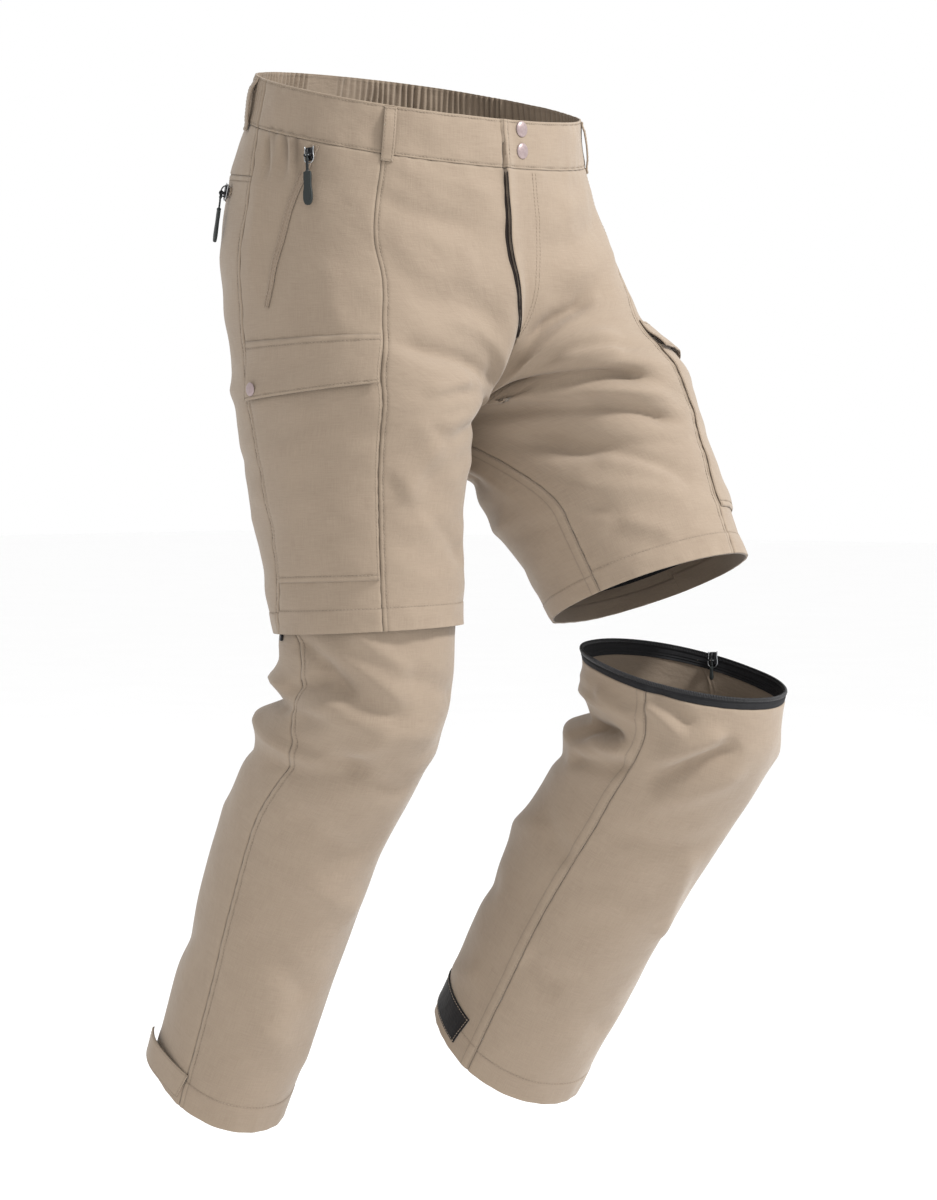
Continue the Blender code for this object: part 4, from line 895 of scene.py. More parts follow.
def cloth_piece(
    name,
    cloth,
    place,
    kinds,
    node,
    paint=None,
    slot="cloth",
    low=-CLOTH / 2,
    thick=CLOTH,
    relief=None,
    step=STEP,
    gap=SEAM_GAP,
    ring=False,
    down_step=None,
    shade=None,
    inner_share=0.0,
):
    """A fine wall of cloth. place maps a share across and a share down to (s, v). kinds are
    the kinds of its left, right, top and bottom edges. relief maps the same shares to
    millimetres out. Returns the piece."""
    left, right, top, bottom = kinds
    probe = np.linspace(0, 1, 33)
    a_probe, b_probe = np.meshgrid(probe, probe)
    probed = cloth.place(*place(a_probe, b_probe), np.zeros(a_probe.shape)) / MM
    widths = np.linalg.norm(np.diff(probed, axis=1), axis=2).sum(1)
    heights = np.linalg.norm(np.diff(probed, axis=0), axis=2).sum(0)
    height = float(np.mean(heights))
    start, between, end = spaced(height, (EDGE_PLACES[top], EDGE_PLACES[bottom]), down_step or step)
    down = np.concatenate([start, start[-1] + (end[0] - start[-1]) * between, end])
    b = down / height
    width = np.interp(b, probe, widths)
    start, between, end = spaced(float(np.mean(widths)), (EDGE_PLACES[left], EDGE_PLACES[right]), step)
    if ring:
        a = np.repeat(np.linspace(0, 1, len(between) + 12)[None, :-1], len(b), 0)
    else:
        near = np.array(EDGE_PLACES[left], float)[None, :] / width[:, None]
        far = 1 - np.array(EDGE_PLACES[right], float)[::-1][None, :] / width[:, None]
        middle = near[:, -1:] + (far[:, :1] - near[:, -1:]) * between[None, :]
        a = np.concatenate([near, middle, far], 1)
    b_grid = np.repeat(b[:, None], a.shape[1], 1)
    s, v = place(a, b_grid)
    from_left = a * width[:, None]
    from_right = (1 - a) * width[:, None]
    from_top = b_grid * height
    from_bottom = (1 - b_grid) * height
    total = np.zeros(a.shape)
    painted_shade = np.zeros(a.shape)
    wear_and_highlight = np.zeros(a.shape)
    for kind, distance, along in (
        (left, from_left, from_top),
        (right, from_right, from_top),
        (top, from_top, from_left),
        (bottom, from_bottom, from_left),
    ):
        if ring and distance is from_left or ring and distance is from_right:
            continue
        # Each edge gives its relief and its painted shade in the dents of its seam and stitching.
        stands, edge_shade = edge_relief(kind, distance, along)
        total += stands
        painted_shade = np.maximum(painted_shade, edge_shade)
        # Paler near every edge: wear plus painted highlight.
        wear_and_highlight = np.maximum(wear_and_highlight, np.exp(-((distance - 2.2) / 2.0) ** 2) * 0.8)
    carried = relief(a, b_grid) if relief is not None else np.zeros(a.shape)
    outer = cloth.place(s, v, carried + total + low + thick)
    within = carried + 0.6 * np.minimum(total, 0)
    for kind, distance in ((top, from_top), (bottom, from_bottom)):
        if kind == "hem":
            within = within - HEM_THICK * (1 - smooth((distance - 22.6) / 1.2))
    inner = cloth.place(s, v, within + low)
    for layer, clear in ((outer, gap / 2), (inner, -INNER_LAP if gap else 0)):
        pull_in(layer, 0, clear)
        if not ring:
            pull_in(layer, 1, clear)
    rows, columns = a.shape
    count = rows * columns
    index = np.arange(count).reshape(rows, columns)
    if ring:
        index = np.concatenate([index, index[:, :1]], 1)

    def quads(first, second, third, fourth):
        return np.stack([first, second, third, fourth], -1).reshape(-1, 4)

    tl, tr, bl, br = index[:-1, :-1], index[:-1, 1:], index[1:, :-1], index[1:, 1:]
    faces = [quads(tl, tr, br, bl), quads(tl, bl, br, tr) + count]
    first, last = index[0], index[-1]
    faces.append(quads(first[:-1], first[:-1] + count, first[1:] + count, first[1:]))
    faces.append(quads(last[:-1], last[1:], last[1:] + count, last[:-1] + count))
    if not ring:
        first, last = index[:, 0], index[:, -1]
        faces.append(quads(first[:-1], first[1:], first[1:] + count, first[:-1] + count))
        faces.append(quads(last[:-1], last[:-1] + count, last[1:] + count, last[1:]))
    faces = np.concatenate(faces)
    points = np.concatenate([outer.reshape(-1, 3), inner.reshape(-1, 3)])
    centre = points.mean(0)
    corner = points[faces]
    volume = np.einsum(
        "ij,ij->i", corner[:, 0] - centre, np.cross(corner[:, 1] - centre, corner[:, 2] - centre)
    ).sum()
    if volume < 0:
        faces = faces[:, ::-1]
    piece = new_piece(name, points.tolist(), faces.tolist(), paint or KHAKI, nodes=[node] if node else ())
    flat = np.stack([from_left * MM, from_top * MM], -1).reshape(-1, 2)
    flat = np.concatenate([flat, flat + 0.37])
    mesh = piece.data
    layer = mesh.uv_layers.new(name="cloth")
    corners = np.empty(len(mesh.loops), np.int32)
    mesh.loops.foreach_get("vertex_index", corners)
    layer.data.foreach_set("uv", (flat[corners] + hash_place(name)).ravel())
    # Per-point colour marks: paler seam edges (wear plus painted highlight) and painted shade. Both are weaker on
    # the inner layer, whose painted shade is raised where it faces only other cloth.
    for key, values in (("wear_and_highlight", wear_and_highlight), ("painted_shade", painted_shade)):
        store = mesh.attributes.new(key, "FLOAT", "POINT")
        within = 0.4 * values
        if key == "painted_shade" and slot == "cloth":
            within = np.maximum(within, INNER_SHADE * inner_share)
        if key == "painted_shade" and shade is not None:
            outside, inside = shade(a, b_grid)
            values = np.maximum(values, outside)
            within = np.maximum(within, inside)
        both = np.concatenate([values.ravel(), within.ravel()])
        store.data.foreach_set("value", both.astype(np.float32))
    lay_stitches(name, cloth, place, kinds, width, height, b, low + thick, relief, ring)
    return piece


def hash_place(name):
    """An offset into the weave for each piece, so that neighbours differ."""
    number = sum((k + 1) * ord(letter) for k, letter in enumerate(name))
    return np.array([(number * 0.137) % 3.0, (number * 0.071) % 3.0])


# Stitches: small tapered threads lying in the dents.
STITCH_LONG = 2.7
STITCH_PITCH = 3.4
STITCH_THICK = 0.62
STITCH_RINGS = ((0.0, 0.35), (0.25, 1.0), (0.75, 1.0), (1.0, 0.35))
STITCHES = {"points": [], "faces": [], "count": 0}


def stitch_run(cloth, s, v, lift):
    """Stitches along a line of close places on the cloth."""
    line = cloth.place(s, v, lift)
    out = normals(cloth.surface, s, v)
    gone = np.concatenate([[0], np.cumsum(np.linalg.norm(np.diff(line, axis=0), axis=1))]) / MM
    number = int(gone[-1] / STITCH_PITCH)
    if number < 1:
        return
    starts = (np.arange(number) + 0.1) * gone[-1] / number
    ring = []
    for share, size in STITCH_RINGS:
        at = starts + share * STITCH_LONG
        centre = np.stack([np.interp(at, gone, line[:, k]) for k in range(3)], -1)
        up = np.stack([np.interp(at, gone, out[:, k]) for k in range(3)], -1)
        ahead = np.stack([np.interp(at + 1.0, gone, line[:, k]) for k in range(3)], -1) - centre
        behind = centre - np.stack([np.interp(at - 1.0, gone, line[:, k]) for k in range(3)], -1)
        way = ahead + behind
        way /= np.linalg.norm(way, axis=1, keepdims=True) + 1e-12
        side = np.cross(up, way)
        half = STITCH_THICK / 2 * size * MM
        for x, y in ((1, -0.4), (0.6, 1), (-0.6, 1), (-1, -0.4)):
            ring.append(centre + side * half * x + up * half * y)
    points = np.stack(ring, 1)
    base = STITCHES["count"]
    STITCHES["points"].append(points.reshape(-1, 3))
    one = []
    for k in range(len(STITCH_RINGS) - 1):
        for j in range(4):
            one.append((4 * k + j, 4 * k + (j + 1) % 4, 4 * k + 4 + (j + 1) % 4, 4 * k + 4 + j))
    end = 4 * (len(STITCH_RINGS) - 1)
    one.append((3, 2, 1, 0))
    one.append((end, end + 1, end + 2, end + 3))
    one = np.array(one)
    size = 4 * len(STITCH_RINGS)
    faces = base + (np.arange(number) * size)[:, None, None] + one[None]
    STITCHES["faces"].append(faces.reshape(-1, 4))
    STITCHES["count"] += number * size


def lay_stitches(name, cloth, place, kinds, width, height, b, top_lift, relief, ring):
    """The stitched lines of a piece's four edges."""
    left, right, top, bottom = kinds
    if ring:
        return
    fine = np.linspace(0.004, 0.996, 160)
    wide = np.interp(fine, b, width)
    for kind, side in ((left, 0), (right, 1)):
        for line in STITCH_LINES[kind]:
            share = line / wide if side == 0 else 1 - line / wide
            s, v = place(share, fine)
            extra = relief(share, fine) if relief is not None else 0
            stitch_run(cloth, s, v, top_lift - 0.18 + extra + 0 * fine)
    for kind, side in ((top, 0), (bottom, 1)):
        for line in STITCH_LINES[kind]:
            share = line / height if side == 0 else 1 - line / height
            down = np.full_like(fine, share)
            s, v = place(fine, down)
            extra = relief(fine, down) if relief is not None else 0
            rise = 0.25 if kind == "hem" else 0
            stitch_run(cloth, s, v, top_lift - 0.18 + rise + extra + 0 * fine)


def finish_stitches():
    points = np.concatenate(STITCHES["points"])
    faces = np.concatenate(STITCHES["faces"])
    new_piece("stitching", points.tolist(), faces.tolist(), THREAD)


# Panels of the trunk.
def between_lines(first, second, rows):
    """A map from shares to places, between two lines down the cloth and two rows."""
    low, high = rows

    def place(a, b):
        v = low + (high - low) * b
        start = first(v)
        return start + (second(v) - start) * a, v

    return place


def fly_line(v):
    return -read(FLY_EDGE, 1, v)


def seam_line(table, side):
    return lambda v: SIGN[side] * read(table[side], 1, v)


def back_place(side, rows, top):
    """Places of the back panel or the yoke, whose shared edge drops to the middle."""
    low, high = rows

    def place(a, b):
        row = low + (high - low) * b
        seam = read(BACK_SEAM[side], 1, row)
        drop = read(YOKE_SEAM, 1, a) - YOKE_ROW
        fade = row / YOKE_ROW if top else 1 - smooth((row - YOKE_ROW) / (1 - YOKE_ROW))
        return SIGN[side] * (seam + (1 - seam) * a), row + fade * drop

    return place


def fly_shadow(a, b):
    """The right front is dark where the left front stands over it."""
    v = HEM_ALONG * b
    near = np.exp(-((a / 0.024) ** 2))
    dark = 1.9 * near * (1 - smooth((v - FLY_END + 0.04) / 0.05))
    return dark, 0 * dark


def gather_shadow(a, b):
    """Shadow between the gathers under the band."""
    low, high = GATHER_SPAN
    t = np.clip((a - low) / (high - low), 0, 1)
    inside = (t > 0) & (t < 1)
    valley = np.cos(pi * SIDE_GATHERS * t) ** 8
    dark = 1.2 * valley * inside * (1 - smooth(HEM_ALONG * b / GATHER_ENDS))
    return dark, 0 * dark


def panels(side):
    cloth = SIDE_TRUNK[side]
    front = seam_line(FRONT_SEAM, side)
    back = seam_line(BACK_SEAM, side)
    cloth_piece(
        "front_panel_" + side,
        cloth,
        between_lines(fly_line, front, (0.0, HEM_ALONG)),
        ("seam", "stitched", "seam", "hem"),
        "front_" + side,
        shade=fly_shadow if side == "right" else None,
        inner_share=1.0,
    )
    cloth_piece(
        "side_panel_" + side,
        cloth,
        between_lines(front, back, (0.0, HEM_ALONG)),
        ("seam", "seam", "seam", "hem"),
        "side_" + side,
        shade=gather_shadow,
        inner_share=1.0,
    )
    cloth_piece(
        "back_yoke_" + side,
        cloth,
        back_place(side, (0.0, YOKE_ROW), True),
        ("stitched", "seam", "seam", "seam"),
        "yoke_" + side,
    )
    cloth_piece(
        "back_panel_" + side,
        cloth,
        back_place(side, (YOKE_ROW, HEM_ALONG), False),
        ("stitched", "felled" if side == "left" else "seam", "stitched", "hem"),
        "back_" + side,
        inner_share=1.0,
    )


# The waistband.
def band_place(start, end):
    def place(a, b):
        return start + (end - start) * a, BAND_TOP * (1 - b)

    return place


def ruche_wave(a, b):
    """The elastic's gathers: their wave and how strong each is; flat at the middle back."""
    middle = np.abs(a - 0.5) * 2
    flat = smooth((middle - 0.07) / 0.03)
    wander = a + 0.0022 * np.sin(37 * a) + 0.0011 * np.sin(91 * a + 4 * b)
    wave = np.sin(2 * pi * BAND_GATHERS * wander)
    strength = 0.8 + 0.25 * np.sin(23 * a + 1.0) + 0.2 * np.sin(57 * a)
    edges = smooth(b / 0.12) * smooth((1 - b) / 0.10)
    return wave, flat * (0.45 + 0.55 * edges) * strength


def band_ruches(a, b):
    wave, strength = ruche_wave(a, b)
    return strength * BAND_GATHER_DEEP / 2 * (wave + 0.2)


def ruche_shadow(a, b):
    wave, strength = ruche_wave(a, b)
    deep = np.clip(strength, 0, 1)
    return 0.9 * deep * ((1 - wave) / 2) ** 5, 1.2 * deep * ((1 + wave) / 2) ** 9


def side_ruche_wave(a, b):
    """The elastic's gathers go on into the wearer's left part of the band, up to its front."""
    wander = a + 0.0030 * np.sin(29 * a) + 0.0015 * np.sin(67 * a + 4 * b)
    wave = np.sin(2 * pi * SIDE_RUCHES * wander)
    strength = 0.75 + 0.25 * np.sin(19 * a + 2.0)
    edges = smooth(b / 0.12) * smooth((1 - b) / 0.10)
    return wave, smooth((a - SIDE_RUCHES_START) / 0.12) * (0.4 + 0.6 * edges) * strength


def side_ruches(a, b):
    wave, strength = side_ruche_wave(a, b)
    return strength * SIDE_RUCHE_DEEP / 2 * (wave + 0.2)


def side_ruche_shadow(a, b):
    wave, strength = side_ruche_wave(a, b)
    return 0.6 * strength * ((1 - wave) / 2) ** 6, 1.1 * strength * ((1 + wave) / 2) ** 7


SIDE_RUCHES = 42
SIDE_RUCHES_START = 0.42
SIDE_RUCHE_DEEP = 1.9


def waistband():
    fly = fly_line(np.array([BAND_TOP / 2]))[0]
    for side in SIGN:
        seam = SIGN[side] * BACK_SEAM[side][0][1]
        cloth_piece(
            "band_" + side,
            TRUNK,
            band_place(fly, seam),
            ("stitched" if side == "left" else "seam", "seam", "folded", "folded"),
            "band_front_" + side,
            step=3.6 if side == "right" else 1.2,
            relief=side_ruches if side == "left" else None,
            shade=side_ruche_shadow if side == "left" else None,
            down_step=4.0,
        )
    seam = BACK_SEAM["left"][0][1]
    cloth_piece(
        "band_elastic",
        TRUNK,
        band_place(seam, 2 - seam),
        ("seam", "seam", "folded", "folded"),
        "band_back",
        relief=band_ruches,
        step=1.0,
        down_step=4.0,
        shade=ruche_shadow,
    )


# The lower legs.
def lower_legs(side):
    cloth = SHIN[side]
    start = SHIN_STARTS[side]
    sign = SIGN[side]

    def inseam(v):
        return 0 * v

    def outseam(v):
        return sign * read(OUTSEAM, 1, v)

    def far_inseam(v):
        return sign + 0 * v

    cloth_piece(
        "leg_front_" + side,
        cloth,
        between_lines(inseam, outseam, (start, 1.0)),
        ("seam", "stitched", "seam", "hem"),
        "lower_front_" + side,
        inner_share=1.0,
    )
    cloth_piece(
        "leg_back_" + side,
        cloth,
        between_lines(outseam, far_inseam, (start, 1.0)),
        ("seam", "felled", "seam", "hem"),
        "lower_back_" + side,
        inner_share=1.0,
    )


INSIDE_TAPE = 2.0
LOOP_WIDE = 11
LOOP_THICK = 1.4
LOOP_PROUD = 3.4
SLANT_TOP = (0.425, 0.012)
SLANT_FOOT = (0.508, 0.56)
SLANT_WIDE = (8, 6)
BACK_POCKET = ((0.645, 0.235), (0.90, 0.315))
BACK_POCKET_WIDE = 8
POCKET_BULGE = 2.5
PATCH_LIFT = 0.7
PATCH_THICK = 1.2
FLAP_BACK_DROP = 0.03
FLAP_CROWN = 0.9
WAIST_SNAP_ROUND = -0.002
WAIST_SNAPS = (("waist_snap_upper", -0.147), ("waist_snap_lower", -0.066))
FLAP_SNAP = (0.90, 0.845)
FLAP_SNAP_LIFT = 7.9
FLAP_SNAP_SIZE = 0.85
PULL_TILT = radians(13)
BACK_PULL_TILT = radians(-8)
SLANT_SLIDER_SHARE = 0.07
BACK_SLIDER_PLACE = (-0.657, 0.238)
PULL_STANDS = radians(-3)
LEG_SLIDER_PLACE = (0.51, 0.012)
LEG_SLIDER_IN = 2.4
LEG_PULL_SIZE = 0.4
ZIP_END_PLACE = (0.585, 0.046)
TAB_LONG = (0.472, 0.630)
TAB_ALONG = 0.968
TAB_WIDE = 27
TAB_PROUD = 6
TAB_RISES_BY = 0.83
TAB_THICK = 1.6
LOOP_PATCH = (0.80, 0.955)
LOOP_PATCH_ALONG = 0.945
LOOP_PATCH_WIDE = 30
LOOP_PATCH_THICK = 1.2
LOOP_PLACES = (
    ("loop_front_right", -0.275, 1.2),
    ("loop_front_left", 0.275, 1.2),
    ("loop_side_right", -0.66, 2.5),
    ("loop_side_left", 0.66, 2.5),
    ("loop_centre_back", 1.0, 1.2),
)

INSIDE_ZIPS = (
    ("right", "leg_zip_right", (1.94, 1.995)),
    ("left", "leg_zip_left_upper", (1.80, 1.86)),
)


# Strips sewn over the cloth.
def strip_place(cloth, rows, wide):
    """Maps shares across and down a strip to places on the cloth. rows: (share, s, v)."""
    small = 1e-3

    def middle(b):
        return read(rows, 1, b), read(rows, 2, b)

    def place(a, b):
        s, v = middle(b)
        along = cloth.place(*middle(b + small), 0 * s) - cloth.place(*middle(b - small), 0 * s)
        out = normals(cloth.surface, s, v)
        across = np.cross(out, along)
        across /= np.linalg.norm(across, axis=-1, keepdims=True)
        by_s = (cloth.surface(s + small, v) - cloth.surface(s - small, v)) / (2 * small)
        by_v = (cloth.surface(s, v + small) - cloth.surface(s, v - small)) / (2 * small)
        basis = np.stack([by_s, by_v, out], -1)
        step = np.linalg.solve(basis, across[..., None])[..., 0]
        reach = MM * (wide(b) if callable(wide) else wide) * (a - 0.5)
        return s + step[..., 0] * reach, v + step[..., 1] * reach

    return place


LOOP_RISE = ((0, 0.0), (0.06, 0.0), (0.21, 0.7), (0.46, 1.0), (0.72, 0.7), (0.93, 0.0), (1, 0.0))


def belt_loops():
    for name, s, foot in LOOP_PLACES:
        rows = ((0.0, s, LOOP_ENDS[0]), (1.0, s, LOOP_ENDS[1]))
        cloth_piece(
            "belt_" + name,
            TRUNK,
            strip_place(TRUNK, rows, LOOP_WIDE),
            ("strip", "strip", "strip", "strip"),
            name,
            low=foot,
            thick=LOOP_THICK,
            relief=lambda a, b: LOOP_PROUD * read(LOOP_RISE, 1, b),
            step=2.5,
            gap=0,
        )


def groove(at, wide, deep, height):
    """A dip along a strip at a share across it."""

    def relief(a, b):
        return -deep * np.exp(-(((a - at) * height / wide) ** 2))

    return relief


def pocket_welts():
    lift = CLOTH / 2 + LAID_ON
    (u0, v0), (u1, v1) = SLANT_TOP, SLANT_FOOT
    for side in SIGN:
        rows = ((0.0, SIGN[side] * u0, v0), (1.0, SIGN[side] * u1, v1))
        wide = lambda b: SLANT_WIDE[0] + (SLANT_WIDE[1] - SLANT_WIDE[0]) * b
        cloth_piece(
            "pocket_welt_" + side,
            SIDE_TRUNK[side],
            strip_place(SIDE_TRUNK[side], rows, wide),
            ("strip", "strip", "strip", "strip"),
            "pocket_zip_" + side,
            paint=KHAKI_TRIM,
            slot="pocket_welt",
            low=lift,
            thick=WELT_THICK,
            relief=groove(0.42, 0.55, 0.7, 7.0),
            step=0.45,
            gap=0,
            down_step=3.0,
        )
    (u0, v0), (u1, v1) = BACK_POCKET
    rows = ((0.0, -u0, v0), (1.0, -u1, v1))
    cloth_piece(
        "pocket_welt_back",
        SIDE_TRUNK["right"],
        strip_place(SIDE_TRUNK["right"], rows, BACK_POCKET_WIDE),
        ("strip", "strip", "strip", "strip"),
        "pocket_zip_back",
        paint=KHAKI_TRIM,
        slot="pocket_welt",
        low=lift,
        thick=WELT_THICK,
        relief=groove(0.5, 0.55, 0.7, 8.0),
        step=0.45,
        gap=0,
        down_step=3.0,
    )


def cargo_pockets(side):
    cloth = SIDE_TRUNK[side]
    front = seam_line(FRONT_SEAM, side)
    back = seam_line(BACK_SEAM, side)
    edge, far_edge = PATCH_EDGES

    def patch(rows, drop):
        def place(a, b):
            share = edge + (far_edge - edge) * a
            row = read(rows, 1, b)
            start = front(row)
            return start + (back(row) - start) * share, row + drop * b * share

        return place

    def pocket_relief(a, b):
        share = edge + (far_edge - edge) * a
        bulge = POCKET_BULGE * np.sin(pi * np.clip(b, 0, 1)) ** 0.5 * np.sin(pi * share)
        mouth = np.exp(-(((b - 0.10) / 0.05) ** 2)) * (0.9 * np.sin(23 * a) + 0.7 * np.sin(9 * a + 1))
        slant = 1.0 * np.exp(-(((a - 0.55 - 0.35 * b) / 0.12) ** 2)) * smooth(b * 3) * smooth((1 - b) * 3)
        return bulge + 0.5 * mouth + slant

    cloth_piece(
        "cargo_pocket_" + side,
        cloth,
        patch(((0, POCKET_SPAN[0]), (1, POCKET_SPAN[1])), 0.0),
        ("strip", "strip", "bare", "stitched"),
        "cargo_" + side,
        low=CLOTH / 2 + PATCH_LIFT,
        thick=PATCH_THICK,
        relief=pocket_relief,
        gap=0,
    )

    def flap_relief(a, b):
        share = edge + (far_edge - edge) * a
        lifted = read(FLAP_RISE, 1, b) + FLAP_CROWN * b * np.sin(pi * share)
        corner = 1.2 * smooth((b - 0.5) * 2) * np.exp(-(((a - 0.72) / 0.10) ** 2))
        return lifted - corner

    cloth_piece(
        "pocket_flap_" + side,
        cloth,
        patch(FLAP_SPAN, FLAP_BACK_DROP),
        ("strip", "strip", "stitched", "stitched"),
        "flap_" + side,
        low=CLOTH / 2 + 2 * PATCH_LIFT + PATCH_THICK,
        thick=PATCH_THICK,
        relief=flap_relief,
        gap=0,
        step=3.2,
    )


def hem_trims(side):
    cloth = SHIN[side]
    start, end = TAB_LONG
    sign = SIGN[side]
    rows = ((0.0, sign * start, TAB_ALONG), (1.0, sign * end, TAB_ALONG))
    cloth_piece(
        "ankle_tab_" + side,
        cloth,
        strip_place(cloth, rows, TAB_WIDE),
        ("strip", "strip", "strip", "strip"),
        "hem_tab_" + side,
        low=CLOTH / 2 + LAID_ON,
        thick=TAB_THICK,
        relief=lambda a, b: TAB_PROUD * smooth(b / TAB_RISES_BY),
        step=2.5,
        gap=0,
    )
    start, end = LOOP_PATCH
    rows = ((0.0, sign * start, LOOP_PATCH_ALONG), (1.0, sign * end, LOOP_PATCH_ALONG))
    cloth_piece(
        "pile_patch_" + side,
        cloth,
        strip_place(cloth, rows, LOOP_PATCH_WIDE),
        ("strip", "strip", "strip", "strip"),
        "loop_patch_" + side,
        paint=PILE,
        slot="hook_and_loop",
        low=CLOTH / 2 + LAID_ON,
        thick=LOOP_PATCH_THICK,
        step=1.6,
        gap=0,
        relief=lambda a, b: 0.22 * np.sin(141 * a + 7 * np.sin(31 * b)) * np.sin(173 * b + 5 * np.sin(29 * a)),
    )


# Zip tapes with their coils.
COIL_PITCH = 1.55
COIL_WIRE = 0.5


def ring_place(sign, low, high):
    def place(a, b):
        return sign * a, low + (high - low) * b

    return place


def coil(name, cloth, sign, v, lift):
    """A row of zip coils round a leg: a bowed link for each turn."""
    fine = np.linspace(0, 1, 400)
    line = cloth.place(sign * fine, np.full_like(fine, v), np.full_like(fine, lift))
    out = normals(cloth.surface, sign * fine, np.full_like(fine, v))
    gone = np.concatenate([[0], np.cumsum(np.linalg.norm(np.diff(line, axis=0), axis=1))]) / MM
    number = int(gone[-1] / COIL_PITCH)
    at = (np.arange(number) + 0.5) * gone[-1] / number
    centre = np.stack([np.interp(at, gone, line[:, k]) for k in range(3)], -1)
    up = np.stack([np.interp(at, gone, out[:, k]) for k in range(3)], -1)
    ahead = np.stack([np.interp(at + 0.5, gone, line[:, k]) for k in range(3)], -1) - centre
    ahead /= np.linalg.norm(ahead, axis=1, keepdims=True) + 1e-12
    side = np.cross(up, ahead)
    points = []
    for x, z, size in COIL_BOW:
        for dx, dz in ((-1, -1), (1, -1), (1, 1), (-1, 1)):
            reach = side * x + up * z
            points.append(centre + MM * (reach + ahead * dx * size + up * dz * size))
    points = np.stack(points, 1).reshape(-1, 3)
    turns = len(COIL_BOW)
    one = []
    for k in range(turns - 1):
        for j in range(4):
            one.append((4 * k + j, 4 * k + (j + 1) % 4, 4 * k + 4 + (j + 1) % 4, 4 * k + 4 + j))
    one.append((3, 2, 1, 0))
    one.append((4 * turns - 4, 4 * turns - 3, 4 * turns - 2, 4 * turns - 1))
    faces = (np.arange(number) * 4 * turns)[:, None, None] + np.array(one)[None]
    return new_piece(name, points.tolist(), faces.reshape(-1, 4).tolist(), COIL)


# One turn of a coil: across the tape, out of it, and the wire's half thickness.
COIL_BOW = ((-1.9, 0.1, 0.3), (-1.3, 0.75, 0.42), (0.0, 1.0, 0.45), (1.3, 0.75, 0.42), (1.9, 0.1, 0.3))


def tape_lines(a, b):
    return 0.35 * (dip(b, 0.30, 0.07) + dip(b, 0.62, 0.07)) - 0.25 * dip(b, 0.46, 0.06)


def leg_zips():
    for side, name, rows in INSIDE_ZIPS:
        cloth_piece(
            "tape_" + name,
            SIDE_TRUNK[side],
            ring_place(SIGN[side], *rows),
            ("bare", "bare", "bare", "bare"),
            name,
            paint=TAPE,
            slot="zip_tape",
            low=-INSIDE_TAPE - TAPE_THICK / 2,
            thick=TAPE_THICK,
            relief=tape_lines,
            ring=True,
            step=3.0,
            down_step=0.7,
            gap=0,
        )
        coil("coil_" + name, SIDE_TRUNK[side], SIGN[side], 0.25 * rows[0] + 0.75 * rows[1], -INSIDE_TAPE - 1.4)
    cloth_piece(
        "tape_leg_zip_left_lower",
        SHIN["left"],
        ring_place(1, 0.0, SHIN_STARTS["left"]),
        ("bare", "bare", "bare", "bare"),
        "leg_zip_left_lower",
        paint=TAPE,
        slot="zip_tape",
        low=-TAPE_THICK / 2,
        thick=TAPE_THICK,
        relief=tape_lines,
        ring=True,
        step=3.0,
        down_step=0.6,
    )
    coil("coil_leg_zip_left_lower", SHIN["left"], 1, 0.0055, -1.0)
    coil("coil_leg_zip_left_outer", SHIN["left"], 1, 0.0055, 0.2)


# Turned, moulded and bent pieces.
def placed(points, frame):
    """Local points in millimetres, moved to a frame in metres."""
    turn = np.array(frame.to_3x3())
    return np.asarray(points, float) @ turn.T * MM + np.array(frame.translation)


def lathe(name, profile, frame, paint, body, nodes=(), steps=40):
    """A closed turned piece; profile runs from the middle of the top to that of the foot."""
    angle = 2 * pi * np.arange(steps) / steps
    points = [(0.0, 0.0, profile[0][1])]
    faces = []
    for r, h in profile[1:-1]:
        points += [(r * cos(t), r * sin(t), h) for t in angle]
    points.append((0.0, 0.0, profile[-1][1]))
    rings = len(profile) - 2
    for j in range(steps):
        k = (j + 1) % steps
        faces.append((0, 1 + j, 1 + k))
        for i in range(rings - 1):
            low = 1 + i * steps
            faces.append((low + j, low + steps + j, low + steps + k, low + k))
        last = 1 + (rings - 1) * steps
        faces.append((len(points) - 1, last + k, last + j))
    return new_piece(name, placed(points, frame).tolist(), faces, paint, body, nodes)


